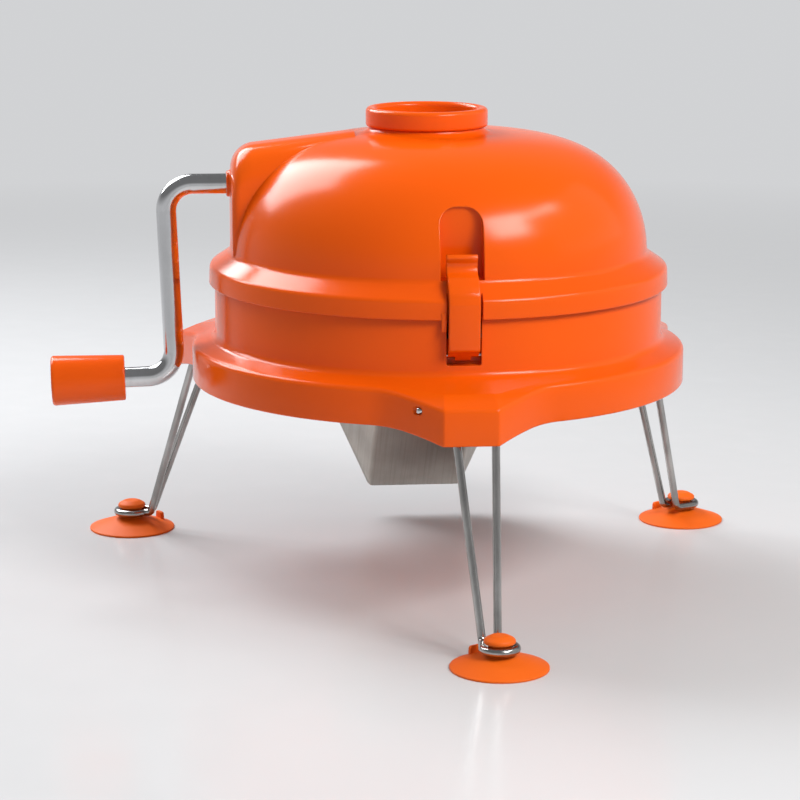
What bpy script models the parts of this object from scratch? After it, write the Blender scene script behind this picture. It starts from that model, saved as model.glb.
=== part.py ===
"""Hand-cranked vegetable cutter on three folding wire legs.

A round drum stands on three legs with suction cups. Its domed lid carries the crank, a gear train and
the feed tube. Under the feed tube turns a slicing disc, and what it cuts falls through the drum's floor
into a steel chute at the back.

Sizes are in millimetres and become metres when a mesh is made. The drum's axis is vertical, the crank
points to -X, the front latch and the front leg are at -Y, and the chute opens to +Y.
"""

import math

import bmesh
import bpy
from mathutils import Matrix, Vector

for old in list(bpy.data.objects):
    bpy.data.objects.remove(old, do_unlink=True)

MM = 0.001
GAP = 0.3  # between pieces that touch, and round a shaft in its bearing
EDGE = 1.2  # small chamfers

# Base drum
BASE_Z = 100.7  # height of the drum's lower edge above the table
DRUM_H = 49.7  # from that edge to the top of the wall
WALL_R = 110.5
WALL_T = 3.0
BAND_OUT = 11.4  # how far the flange stands out from the wall
BAND_H = 17.2  # height of the flange's upright face
BAND_BREAK = 1.6  # break of the edge between that face and the ledge above it
LEDGE_RISE = 3.9  # how far the ledge rises to the wall
SKIN_T = 2.2  # thickness of the flange and the lobes
FLOOR_T = 3.0
FLOOR_UP = 3.3  # height of the floor's underside above the lower edge
BOSS_R = 9.0
BOSS_H = 13.0
SPINDLE_R = 4.0
RIM_Z = BASE_Z + DRUM_H
BAND_R = WALL_R + BAND_OUT
BAND_Z1 = BASE_Z + BAND_H
FOOT_Z = BAND_Z1 + LEDGE_RISE  # where the ledge meets the wall
FLOOR_Z = BASE_Z + FLOOR_UP
FLOOR_TOP = FLOOR_Z + FLOOR_T
BOSS_TOP = FLOOR_TOP + BOSS_H

# Legs: each has its place along the pin, and the splay and side step of its foot past the lobe
FRONT_SLIDE = 2.5
FRONT_SPLAY = 23.6
FRONT_STEP = 10.4
LEFT_SPLAY = 39.3
LEFT_STEP = -3.7
RIGHT_SPLAY = 25.6
RIGHT_STEP = 2.4
LEGS = {  # with the azimuth of the lobe
    "front": (-90.0, FRONT_SLIDE, FRONT_SPLAY, FRONT_STEP),
    "left": (150.0, 0.0, LEFT_SPLAY, LEFT_STEP),
    "right": (30.0, 0.0, RIGHT_SPLAY, RIGHT_STEP),
}
WIRE_R = 1.9
LEG_HALF = 9.6  # half the spacing of a leg's wires at the hinge
BARREL_OVER = 3.0  # how far the hinge barrel reaches past the wires
BARREL_R = 3.1
PIN_R = 1.5

# The three lobes that hold the legs
LOBE_OUT = 19.1  # how far a lobe reaches past the flange
LOBE_HALF = LEG_HALF + 2.9  # half the width of its flat end
LOBE_SIDE = 16.5  # how far its straight slanting side runs back
LOBE_MEET = 21.5  # degrees from the lobe's middle to where it joins the round flange
LOBE_DROP = 4.7  # how far its end hangs below the flange
LOBE_FALL = 5.0  # how far its top falls from the flange to its end
LOBE_CREST = 1.8  # how far the top is rounded up between them
LOBE_REACH = BAND_R + LOBE_OUT
PIN_REACH = LOBE_REACH - 11.0
PIN_Z = BAND_Z1 - 7.2
PIN_HALF = LOBE_HALF + LOBE_REACH - PIN_REACH + 1.0

# Suction cups
CUP_R = 22.5
CUP_NECK_R = 5.2
CUP_HEAD_OUT = 2.2  # how far the head stands out over the wire
LOOP_Z = 11.4  # height of the wire's loop round the neck
CUP_TOP_Z = LOOP_Z + WIRE_R + 4.1

# Lid
LID_OUT = 2.8  # how far the lid's flange stands out over the wall
LID_BAND_H = 6.6
LID_OVER = 2.4  # how far that flange hangs over the wall's top
LID_T = 3.0
LID_RISE = 15.2  # height of the sloping flange
DOME_IN = 10.7  # width of that flange
DOME_H = 55.6
DOME_RISE = 1.86  # the dome's two powers, which set how blunt it is
DOME_ROUND = 3.85
SKIRT_DEPTH = 4.8
SKIRT_PLAY = 0.8
LID_R = WALL_R + LID_OUT
LID_Z = RIM_Z + GAP + 0.1
DOME_R = LID_R - DOME_IN
DOME_Z = LID_Z + LID_RISE
SKIRT_R = WALL_R - WALL_T - SKIRT_PLAY

# Feed tube
FEED_X = -6.0
FEED_BORE_R = 25.0
FEED_T = 2.3
FEED_RIM_OUT = 2.6
FEED_RIM_H = 7.9
FEED_STAND = 12.5  # height of the rim's top above the dome
FEED_TUBE_R = FEED_BORE_R + FEED_T
FEED_RIM_R = FEED_TUBE_R + FEED_RIM_OUT
FEED_TOP_Z = DOME_Z + DOME_H + FEED_STAND
NECK_R = FEED_RIM_R - 0.6  # the tube's neck, between the dome and the rim

# Gear train: the crank turns an upright lay shaft, whose pinion turns the ring gear on the slicing disc
LAY_IN = 22.6  # from the foot of the dome to the lay shaft
LAY_R = 4.0
BEVEL_TEETH = 12
BEVEL_MODULE = 2.0
BEVEL_FACE = 6.0
PINION_TEETH = 12
RING_TEETH = 36
RING_H = 7.6
RING_WIDTH = 11.5  # from the gear's pitch circle to its bore
LAY_X = -(DOME_R - LAY_IN)
SPUR_MODULE = -2 * LAY_X / (PINION_TEETH + RING_TEETH)
RING_PITCH_R = RING_TEETH * SPUR_MODULE / 2
RING_BORE_R = RING_PITCH_R - RING_WIDTH

# Slicing disc
DISC_DOWN = 3.4  # depth of the disc's underside below the drum's rim
DISC_T = 1.2
BLADES = 3
WASHER_T = 1.2
DISC_Z = RIM_Z - DISC_DOWN
DISC_R = RING_PITCH_R + 3.0
RING_Z = DISC_Z + DISC_T + GAP
FEED_LOW_Z = DISC_Z + DISC_T + 4.2

# Crank
CRANK_UP = 46.5  # height of the crank's axis above the drum's rim
ROD_R = 5.0
ARM_OUT = 32.4  # from the gear housing to the crank's arm
ARM_LEAN = 3.6
THROW = 95.0
CRANK_TURN = 13.0
GRIP_OUT = 21.1  # from the arm to the grip
GRIP_L = 36.2
GRIP_TILT = 0.031  # fall of the crank's lower run for each millimetre outward
GRIP_R0 = 11.6
GRIP_R1 = 12.8
CAP_R = 8.0
CRANK_Z = LID_Z + CRANK_UP
CRANK_INNER_X = FEED_X - FEED_RIM_R - 10.1

# Gear housing on the lid, and the bearings in it
HOUSE_HALF = 22.0
HOUSE_OVER = 15.9  # height of the roof above the crank's axis, at the housing's end
HOUSE_SLOPE = 0.12
HOUSE_TURN = 11.0  # rounding between roof and end face
HOUSE_EDGE = 4.5  # rounding of its upright edges
HOUSE_T = 2.6
HOUSE_X = -(DOME_R - 0.8)
HOUSE_INNER_X = FEED_X - FEED_RIM_R - 6.1
BUSH_R = ROD_R + 2.4
BRACKET_DOWN = 28.7  # depth of the bracket below the crank's axis
BRACKET_T = 2.5
BRACKET_Z = CRANK_Z - BRACKET_DOWN
BRACKET_X = CRANK_INNER_X - 4.0
POST_X = LAY_X + 17.0
POST_Y = 21.0
POST_R = 4.2
ARM_X = HOUSE_X - ARM_OUT
GRIP_START_X = ARM_X - GRIP_OUT

# Chute
CHUTE_LIP_Z = 14.8
CHUTE_HALF = 23.5
CHUTE_FLARE = math.radians(25.0)
CHUTE_DEPTH = 48.0
CHUTE_FOLD = 7.0
CHUTE_T = 1.0
CHUTE_TOP_Y = 30.0
CHUTE_TOP_UP = 2.0  # height of its walls at the top end
CHUTE_MOUTH = 0.44  # how far along the chute its walls first reach the floor
CHUTE_LIP_Y = BAND_R - 8.9

# Latches
LATCH_HALF = 7.7
LATCH_PIN_R = 1.1
LATCH_UP = 28.2  # height of the lip above the drum's rim
LATCH_DEEP = 3.5  # depth of the hinge behind the wall's outer face
POCKET_SIDE = 2.4  # play beside the latch in its pocket
POCKET_DEEP = 11.6  # depth of the pocket's floor behind the foot of the dome
POCKET_OVER = 18.5  # height of the pocket above the lip
LATCH_D = WALL_R - LATCH_DEEP
LATCH_Z = FOOT_Z + 9.6
LATCH_TOP_Z = LID_Z + LATCH_UP
POCKET_HALF = LATCH_HALF + POCKET_SIDE
POCKET_TOP_Z = LATCH_TOP_Z + POCKET_OVER
POCKET_D = DOME_R - POCKET_DEEP
NOTCH_D = LATCH_D + 1.6  # where the flange's notch stops behind a latch
NOTCH_TURN_Z = LID_Z + 9.4
NOTCH_RISE = 5.8
LEDGE_Z = NOTCH_TURN_Z + NOTCH_RISE


def foot(name):
    """Place of a leg's cup seen from above."""
    azimuth, slide, splay, step = LEGS[name]
    return Matrix.Rotation(math.radians(azimuth), 2) @ Vector((LOBE_REACH + splay, step))


# The origin is under the middle of everything, so the drum's axis stands off it
grip_dir = Vector((-1, 0, -GRIP_TILT)).normalized()
X_LOW = GRIP_START_X + grip_dir.x * GRIP_L + grip_dir.z * (GRIP_R1 - EDGE)
X_HIGH = foot("right").x + CUP_R
Y_LOW = foot("front").y - CUP_R
Y_HIGH = BAND_R
axis = bpy.data.objects.new("drum_axis", None)
axis.location = (-(X_LOW + X_HIGH) / 2 * MM, -(Y_LOW + Y_HIGH) / 2 * MM, 0)
bpy.context.scene.collection.objects.link(axis)

# Colour, roughness and metallic value
ORANGE = ((0.90, 0.13, 0.008), 0.36, 0.0)
RUBBER = ((0.88, 0.14, 0.012), 0.62, 0.0)
NYLON = ((0.34, 0.34, 0.36), 0.45, 0.0)
STEEL = ((0.55, 0.54, 0.52), 0.30, 1.0)
POLISHED = ((0.72, 0.72, 0.72), 0.14, 1.0)
BRONZE = ((0.62, 0.42, 0.20), 0.35, 1.0)
BLADE = ((0.68, 0.69, 0.70), 0.20, 1.0)


def material(name, colour, rough, metal):
    mat = bpy.data.materials.new(name)
    mat.use_nodes = True
    shader = mat.node_tree.nodes["Principled BSDF"]
    shader.inputs["Base Color"].default_value = (*colour, 1)
    shader.inputs["Roughness"].default_value = rough
    shader.inputs["Metallic"].default_value = metal
    mat.diffuse_color = (*colour, 1)
    return mat


def add(mesh, looks=None):
    """Makes an object of a mesh, carried by the drum's axis. Without looks it is a cutter."""
    body = bpy.data.objects.new(mesh.name, mesh)
    bpy.context.scene.collection.objects.link(body)
    body.parent = axis
    if looks is None:
        body.hide_render = True
        body.display_type = "WIRE"
    else:
        mesh.materials.append(material("mat_" + mesh.name, *looks))
        mesh.shade_smooth()
        mesh.set_sharp_from_angle(angle=math.radians(32))
    return body


def boolean(body, tool, operation="DIFFERENCE"):
    mod = body.modifiers.new(operation.lower(), "BOOLEAN")
    mod.operation = operation
    mod.object = tool
    mod.solver = "EXACT"


def cut(body, mesh):
    boolean(body, add(mesh))


def join(body, mesh):
    boolean(body, add(mesh), "UNION")


def finish(bm, name):
    bmesh.ops.remove_doubles(bm, verts=bm.verts, dist=1e-7)
    bmesh.ops.delete(bm, geom=[f for f in bm.faces if f.calc_area() < 1e-14], context="FACES")
    bmesh.ops.recalc_face_normals(bm, faces=bm.faces)
    mesh = bpy.data.meshes.new(name)
    bm.to_mesh(mesh)
    bm.free()
    return mesh


def circle(radius, sides):
    """Points of a circle round +Z."""
    turns = (2 * math.pi * k / sides for k in range(sides))
    return [Vector((radius * math.cos(t), radius * math.sin(t), 0)) for t in turns]


def loft(name, rings, closed=True):
    """Skins rings of equal length. The last ring joins the first, or both ends get a cap."""
    bm = bmesh.new()
    made = [[bm.verts.new(Vector(p) * MM) for p in ring] for ring in rings]
    pairs = list(zip(made, made[1:]))
    if closed:
        pairs.append((made[-1], made[0]))
    else:
        bm.faces.new(list(reversed(made[0])))
        bm.faces.new(made[-1])
    for low, high in pairs:
        for i in range(len(low)):
            j = (i + 1) % len(low)
            bm.faces.new((low[i], low[j], high[j], high[i]))
    return finish(bm, name)


def turned(name, profile, sides=40, centre=(0, 0)):
    """Spins a closed outline of (radius, height) round a vertical line."""
    bm = bmesh.new()
    verts = [bm.verts.new((r * MM, 0, z * MM)) for r, z in profile]
    edges = [bm.edges.new(pair) for pair in zip(verts, verts[1:] + verts[:1])]
    bmesh.ops.spin(bm, geom=verts + edges, axis=(0, 0, 1), cent=(0, 0, 0), angle=2 * math.pi, steps=sides,
                   use_merge=True)
    bmesh.ops.translate(bm, verts=bm.verts, vec=(centre[0] * MM, centre[1] * MM, 0))
    return finish(bm, name)


def prism(name, outline, low, high, along="Z"):
    """Extrudes a flat outline along an axis. The outline lies in the other two."""
    place = {
        "Z": lambda a, b, c: (a, b, c),
        "Y": lambda a, b, c: (a, c, b),
        "X": lambda a, b, c: (c, a, b),
    }[along]
    bm = bmesh.new()
    face = bm.faces.new([bm.verts.new(Vector(place(a, b, low)) * MM) for a, b in outline])
    out = bmesh.ops.extrude_face_region(bm, geom=[face])
    new = [g for g in out["geom"] if isinstance(g, bmesh.types.BMVert)]
    bmesh.ops.translate(bm, verts=new, vec=Vector(place(0, 0, high - low)) * MM)
    return finish(bm, name)


def box(name, x, y, z):
    """A block between pairs of x, y and z."""
    return prism(name, [(x[0], y[0]), (x[1], y[0]), (x[1], y[1]), (x[0], y[1])], z[0], z[1])


def rod(name, radius, start, end, sides=16, bore=0.0):
    """A round bar between two points, or a sleeve if it has a bore."""
    start = Vector(start)
    end = Vector(end)
    turn = (end - start).to_track_quat("Z", "Y")
    ends = [(start, radius), (end, radius)]
    if bore:
        ends = [(start, bore), *ends, (end, bore)]
    return loft(name, [[at + turn @ p for p in circle(r, sides)] for at, r in ends], closed=bore > 0)


def tube(name, points, radius, sides):
    """A wire along points. Its section is widened at each bend, and turns as little as it can."""
    points = [Vector(p) for p in points]
    legs = [(b - a).normalized() for a, b in zip(points, points[1:])]
    side = legs[0].orthogonal().normalized()
    rings = []
    for i, p in enumerate(points):
        before = legs[max(i - 1, 0)]
        after = legs[min(i, len(legs) - 1)]
        ahead = (before + after).normalized()
        side = (side - ahead * side.dot(ahead)).normalized()
        other = ahead.cross(side)
        across = (after - before).normalized()
        widen = 1 / math.cos(before.angle(after) / 2) - 1
        ring = []
        for c in circle(1.0, sides):
            spoke = side * c.x + other * c.y
            ring.append(p + (spoke + across * spoke.dot(across) * widen) * radius)
        rings.append(ring)
    return loft(name, rings, closed=False)


def rounded(points, radius, steps):
    """Rounds the inner corners of a path with arcs."""
    points = [Vector(p) for p in points]
    path = [points[0]]
    for before, corner, after in zip(points, points[1:], points[2:]):
        back = (before - corner).normalized()
        on = (after - corner).normalized()
        half = back.angle(on) / 2
        middle = corner + (back + on).normalized() * radius / math.sin(half)
        start = corner + back * radius / math.tan(half) - middle
        end = corner + on * radius / math.tan(half) - middle
        path += [middle + start.slerp(end, k / steps).normalized() * radius for k in range(steps + 1)]
    path.append(points[-1])
    return path


def spun(mesh, degrees):
    """Turns a mesh about the drum's axis."""
    mesh.transform(Matrix.Rotation(math.radians(degrees), 4, "Z"))
    return mesh


# Base drum with its lobes

def lobe_outline():
    """Half a lobe seen from above, from its flat end to the round flange, with the lobe along +Y."""
    corner = Vector((LOBE_HALF, LOBE_REACH))
    shoulder = corner + Vector((LOBE_SIDE, -LOBE_SIDE))
    total = LOBE_HALF + LOBE_REACH
    x = (total - math.sqrt(2 * BAND_R ** 2 - total ** 2)) / 2
    bend = Vector((x, total - x))  # where the straight side would meet the flange
    meet = math.radians(LOBE_MEET)
    last = Vector((math.sin(meet), math.cos(meet))) * BAND_R
    curve = [shoulder.lerp(bend, t).lerp(bend.lerp(last, t), t) for t in (0, 0.25, 0.5, 0.75, 1)]
    return [corner, corner.lerp(shoulder, 0.5), *curve]


def base_outline():
    """The base seen from above, as angles and radii: three lobes and the round flange between them."""
    between = 8
    points = []
    for azimuth, slide, splay, step in LEGS.values():
        points.append((azimuth, LOBE_REACH))
        for p in lobe_outline():
            turn = math.degrees(math.atan2(p.x, p.y))
            points += [(azimuth + turn, p.length), (azimuth - turn, p.length)]
        for k in range(1, between):
            points.append((azimuth + LOBE_MEET + (120 - 2 * LOBE_MEET) * k / between, BAND_R))
    return sorted((angle % 360, radius) for angle, radius in points)


def base_profile(radius):
    """Section of the base where its flange reaches a radius: up the outside, then down the inside."""
    out = max(0.0, min(1.0, (radius - BAND_R) / LOBE_OUT))
    low = BASE_Z - LOBE_DROP * out ** 1.5
    high = BAND_Z1 - LOBE_FALL * out
    crest_share = 0.65
    crest = WALL_R + (radius - WALL_R) * crest_share
    crest_z = FOOT_Z + (high - FOOT_Z) * crest_share + LOBE_CREST * out
    slope = (crest_z - high) / (radius - crest)
    under = SKIN_T * math.hypot(1, slope)
    return [
        (radius, low),
        (radius, high - BAND_BREAK),
        (radius - BAND_BREAK, high + BAND_BREAK * slope),
        (crest, crest_z),
        (WALL_R, FOOT_Z),
        (WALL_R, RIM_Z),
        (WALL_R - WALL_T, RIM_Z),
        (WALL_R - WALL_T, FLOOR_TOP),
        (BOSS_R, FLOOR_TOP),
        (BOSS_R, BOSS_TOP),
        (SPINDLE_R + GAP, BOSS_TOP),
        (SPINDLE_R + GAP, FLOOR_Z + FLOOR_T / 2),
        (0, FLOOR_Z + FLOOR_T / 2),
        (0, FLOOR_Z),
        (WALL_R - WALL_T / 2, FLOOR_Z),
        (WALL_R - WALL_T / 2, FOOT_Z + WALL_T / 2 * slope - under),
        (crest, crest_z - under),
        (radius - SKIN_T, high + SKIN_T * slope - under),
        (radius - SKIN_T, low),
    ]


def make_base():
    rings = []
    for angle, radius in base_outline():
        a = math.radians(angle)
        rings.append([(r * math.cos(a), r * math.sin(a), z) for r, z in base_profile(radius)])
    mesh = loft("base_housing", rings)
    bm = bmesh.new()
    bm.from_mesh(mesh)
    bmesh.ops.triangulate(bm, faces=bm.faces)
    bm.to_mesh(mesh)
    bm.free()
    base = add(mesh, ORANGE)
    for azimuth, slide, splay, step in LEGS.values():
        past = PIN_HALF + 15
        hole = rod("cut_leg_pin", PIN_R + GAP, (PIN_REACH, -past, PIN_Z), (PIN_REACH, past, PIN_Z), 12)
        cut(base, spun(hole, azimuth))
    for turn in (0, 180):
        cut_latch_seat(base, turn)
    return base


def cut_latch_seat(base, turn):
    """A block behind the wall with a slot for a latch's arm and a hole for its pin."""
    side = LATCH_HALF + 4.6
    back = LATCH_D - 4.2
    block = box("latch_block", (-side, side), (-(WALL_R - 1.5), -back), (LATCH_Z - 4.6, LATCH_Z + 7))
    join(base, spun(block, turn))
    side = LATCH_HALF + 0.4
    slot = box("cut_latch_slot", (-side, side), (-WALL_R - 5, -back - 1.3), (LATCH_Z - 3.6, LATCH_Z + 20))
    cut(base, spun(slot, turn))
    side = LATCH_HALF + 3.0
    hole = rod("cut_latch_pin", LATCH_PIN_R + GAP, (-side, -LATCH_D, LATCH_Z), (side, -LATCH_D, LATCH_Z), 12)
    cut(base, spun(hole, turn))


def make_spindle():
    low = FLOOR_Z + FLOOR_T / 2 + GAP
    top = RING_Z + RING_H - 1.1
    outline = [(0, low), (SPINDLE_R, low), (SPINDLE_R, top - 1), (SPINDLE_R - 1, top), (0, top)]
    add(turned("disc_spindle", outline, 20), POLISHED)
    low = BOSS_TOP + GAP
    high = low + WASHER_T
    washer_r = BOSS_R - 0.5
    outline = [(SPINDLE_R + GAP, low), (washer_r, low), (washer_r, high), (SPINDLE_R + GAP, high)]
    add(turned("thrust_washer", outline, 20), BRONZE)


# Chute: one bent sheet, a flat bottom, two flared walls and a fold on each wall's top edge

chute_rise = FLOOR_Z - GAP - CHUTE_T * 0.55 - CHUTE_LIP_Z


def chute_point(along, up, side):
    """A point of a chute wall. along runs from the lip (0) to the top (1), up is the height on the wall."""
    x = CHUTE_HALF + up * math.sin(CHUTE_FLARE)
    y = CHUTE_LIP_Y - along * (CHUTE_LIP_Y - CHUTE_TOP_Y)
    z = CHUTE_LIP_Z + along * (chute_rise - CHUTE_TOP_UP) + up * math.cos(CHUTE_FLARE)
    return Vector((side * x, y, z))


def chute_corner(along, side):
    """Where a wall's edge lies against the floor."""
    rest = chute_rise - along * (chute_rise - CHUTE_TOP_UP)
    return chute_point(along, rest / math.cos(CHUTE_FLARE), side)


def make_chute(base):
    far = chute_corner(CHUTE_MOUTH, 1)
    near = chute_corner(1.0, 1)
    half = (near.x - 1.5, far.x - 3)
    ends = (near.y + 2, far.y + 8)
    outline = [(-half[0], ends[0]), (half[0], ends[0]), (half[1], ends[1]), (-half[1], ends[1])]
    cut(base, prism("cut_exit", outline, FLOOR_Z - 5, FLOOR_TOP + 5))
    bm = bmesh.new()
    bottom = []
    for side in (-1, 1):
        lip = [chute_point(0, 0, side), chute_point(0, CHUTE_DEPTH, side)]
        wall = [*lip, chute_corner(CHUTE_MOUTH, side), chute_corner(1.0, side), chute_point(1.0, 0, side)]
        corners = [bm.verts.new(p * MM) for p in wall]
        edge = [bm.verts.new((p + Vector((side * CHUTE_FOLD, 0, 0))) * MM) for p in wall[2:4]]
        bm.faces.new(corners)
        bm.faces.new((corners[3], corners[2], edge[0], edge[1]))
        bottom.append((corners[0], corners[4]))
    bm.faces.new((bottom[0][0], bottom[1][0], bottom[1][1], bottom[0][1]))
    chute = add(finish(bm, "discharge_chute"), STEEL)
    sheet = chute.modifiers.new("sheet", "SOLIDIFY")
    sheet.thickness = CHUTE_T * MM
    sheet.offset = 0
    sheet.use_even_offset = True
    sheet.solidify_mode = "NON_MANIFOLD"
    for side in (-1, 1):
        for name, share in (("upper", 0.25), ("lower", 0.8)):
            spot = near.lerp(far, share)
            centre = (side * (spot.x + CHUTE_FOLD * 0.6), spot.y)
            make_chute_screw(base, chute, f"chute_screw_{'left' if side < 0 else 'right'}_{name}", centre)


def make_chute_screw(base, chute, name, centre):
    """A screw through the chute's fold into the floor."""
    shank, head, deep = 1.4, 3.0, FLOOR_Z + FLOOR_T * 0.67
    low, wide = FLOOR_Z - 4, shank + GAP
    hole = add(turned("cut_" + name, [(0, low), (wide, low), (wide, deep + 0.4), (0, deep + 0.4)], 10, centre))
    boolean(base, hole)
    boolean(chute, hole)
    seat = FLOOR_Z - GAP - CHUTE_T - GAP
    low = seat - 1.8
    outline = [(0, low), (1.8, low), (head, seat - 0.7), (head, seat), (shank, seat), (shank, deep), (0, deep)]
    add(turned(name, outline, 10, centre), POLISHED)


# Legs, hinge pins and suction cups

def leg_path(slide, reach, step):
    """The wire of a leg: down one side, three quarters round the cup's neck, and up again."""
    ring = CUP_NECK_R + 2 * GAP + WIRE_R
    top = PIN_Z - BARREL_R + 0.8
    hinge = PIN_REACH + 0.4
    steps = 9
    loop = []
    for k in range(steps + 1):
        t = math.radians(180 - 262 * k / steps)
        loop.append(Vector((reach + ring * math.sin(t), step + ring * math.cos(t), LOOP_Z)))
    bend = Vector((reach - 4.0, step - ring, LOOP_Z))
    down = rounded([(hinge, slide - LEG_HALF, top), bend, loop[0]], 3.5, 3)[:-1]
    up = [loop[-1] + Vector((-1.2, -0.2, 1.2)), (hinge, slide + LEG_HALF, top)]
    return down + loop + up


def make_leg(name):
    azimuth, slide, splay, step = LEGS[name]
    reach = LOBE_REACH + splay
    half = LEG_HALF + BARREL_OVER
    ends = [(PIN_REACH, slide + side * half, PIN_Z) for side in (-1, 1)]
    leg = add(spun(rod("leg_" + name, BARREL_R, *ends, 12, bore=PIN_R + GAP), azimuth), STEEL)
    join(leg, spun(tube("wire_" + name, leg_path(slide, reach, step), WIRE_R, 8), azimuth))
    pin = rod("leg_pin_" + name, PIN_R, (PIN_REACH, -PIN_HALF, PIN_Z), (PIN_REACH, PIN_HALF, PIN_Z), 12)
    add(spun(pin, azimuth), POLISHED)
    head = CUP_NECK_R + CUP_HEAD_OUT
    head_z = LOOP_Z + WIRE_R + 1.5
    cup = turned("suction_cup_" + name, [
        (CUP_R, 0), (CUP_R, 0.9), (CUP_R * 0.62, 4.4), (CUP_NECK_R, 7.6), (CUP_NECK_R, head_z),
        (head, head_z + 0.4), (head, CUP_TOP_Z - 2.0), (3.4, CUP_TOP_Z), (0, CUP_TOP_Z),
        (0, 3.6), (CUP_R * 0.53, 2.2), (CUP_R - 1.6, 0),
    ], 24, (reach, step))
    add(spun(cup, azimuth), RUBBER)


# Lid

def dome_outline(inset, count):
    """Points from the foot of the dome to its top: a blunt curve between a circle and a box."""
    points = []
    for k in range(count):
        share = math.sin(math.pi / 2 * k / (count - 1))
        reach = (1 - share ** DOME_RISE) ** (1 / DOME_ROUND)
        points.append(((DOME_R - inset) * reach, DOME_Z + (DOME_H - inset) * share))
    return points


def house_solid(name, inset):
    """The gear housing as a block, rounded along its top and its end. inset shrinks it to the cavity."""
    end = HOUSE_X + inset
    half = HOUSE_HALF - inset
    low = DOME_Z - 4.0 + inset
    turn = HOUSE_TURN - inset
    tilt = math.atan(HOUSE_SLOPE)
    centre = Vector((end + turn, CRANK_Z + HOUSE_OVER - inset + turn * HOUSE_SLOPE - turn))
    side = [(HOUSE_INNER_X, low), (end, low)]
    steps = 5
    for k in range(steps + 1):
        t = math.pi - (math.pi / 2 - tilt) * k / steps
        side.append((centre.x + turn * math.cos(t), centre.y + turn * math.sin(t)))
    top = side[-1]
    side.append((HOUSE_INNER_X, top[1] + (HOUSE_INNER_X - top[0]) * HOUSE_SLOPE))
    body = prism(name, side, -half, half, along="Y")
    bm = bmesh.new()
    bm.from_mesh(body)
    edges = []
    for edge in bm.edges:
        a, b = (v.co / MM for v in edge.verts)
        on_side = abs(abs(a.y) - half) < 0.01 and abs(a.y - b.y) < 0.01
        on_foot = max(a.z, b.z) < low + 0.01
        on_inner = min(a.x, b.x) > HOUSE_INNER_X - 0.01
        if on_side and not on_foot and not on_inner:
            edges.append(edge)
    size = (HOUSE_EDGE - inset / 2) * MM
    bmesh.ops.bevel(bm, geom=edges, offset=size, segments=3, profile=0.5, affect="EDGES")
    bmesh.ops.triangulate(bm, faces=bm.faces)
    bmesh.ops.recalc_face_normals(bm, faces=bm.faces)
    bm.to_mesh(body)
    bm.free()
    return body


def make_cavity():
    """What is hollow in the lid: the dome and the housing, less what stands inside."""
    low = LID_Z - SKIRT_DEPTH - 1
    inner = SKIRT_R - LID_T - 0.2
    outline = [(0, low), (inner, low), (inner, LID_Z + 9.0), *dome_outline(LID_T, 6)]
    cavity = add(turned("lid_cavity", outline, 28))
    join(cavity, house_solid("house_cavity", HOUSE_T))
    for turn in (0, 180):
        side = POCKET_HALF + HOUSE_T
        back = POCKET_D - HOUSE_T
        keep = box("keep_pocket", (-side, side), (-LID_R, -back), (LID_Z + 11.0, POCKET_TOP_Z + 1.5))
        cut(cavity, spun(keep, turn))
    for y in (-POST_Y, POST_Y):
        low = BRACKET_Z + BRACKET_T + GAP
        cut(cavity, rod("keep_post", POST_R, (POST_X, y, low), (POST_X, y, DOME_Z + DOME_H), 12))
    bearing = rod("keep_bearing", BUSH_R + 2.2, (HOUSE_X + 1, 0, CRANK_Z), (HOUSE_X + 8.0, 0, CRANK_Z), 16)
    cut(cavity, bearing)
    return cavity


def cut_latch_room(lid, turn):
    """The notch in the lid's flange behind a latch, and the pocket above it for a finger."""
    side = LATCH_HALF + 0.9
    past = -LID_R - 8
    low = LID_Z - 3
    bend = [(-NOTCH_D, low), (-NOTCH_D, NOTCH_TURN_Z), (-NOTCH_D + NOTCH_RISE, LEDGE_Z)]
    cut(lid, spun(prism("cut_notch", [(past, low), *bend, (past, LEDGE_Z)], -side, side, along="X"), turn))
    round_r = POCKET_HALF * 0.78
    outline = [(-POCKET_HALF, LEDGE_Z - 1.0), (POCKET_HALF, LEDGE_Z - 1.0)]
    for right in (True, False):
        middle = POCKET_HALF - round_r if right else round_r - POCKET_HALF
        for k in range(5):
            t = math.pi / 8 * (k if right else k + 4)
            outline.append((middle + round_r * math.cos(t), POCKET_TOP_Z - round_r + round_r * math.sin(t)))
    cut(lid, spun(prism("cut_pocket", outline, past, -POCKET_D, along="Y"), turn))


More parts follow.
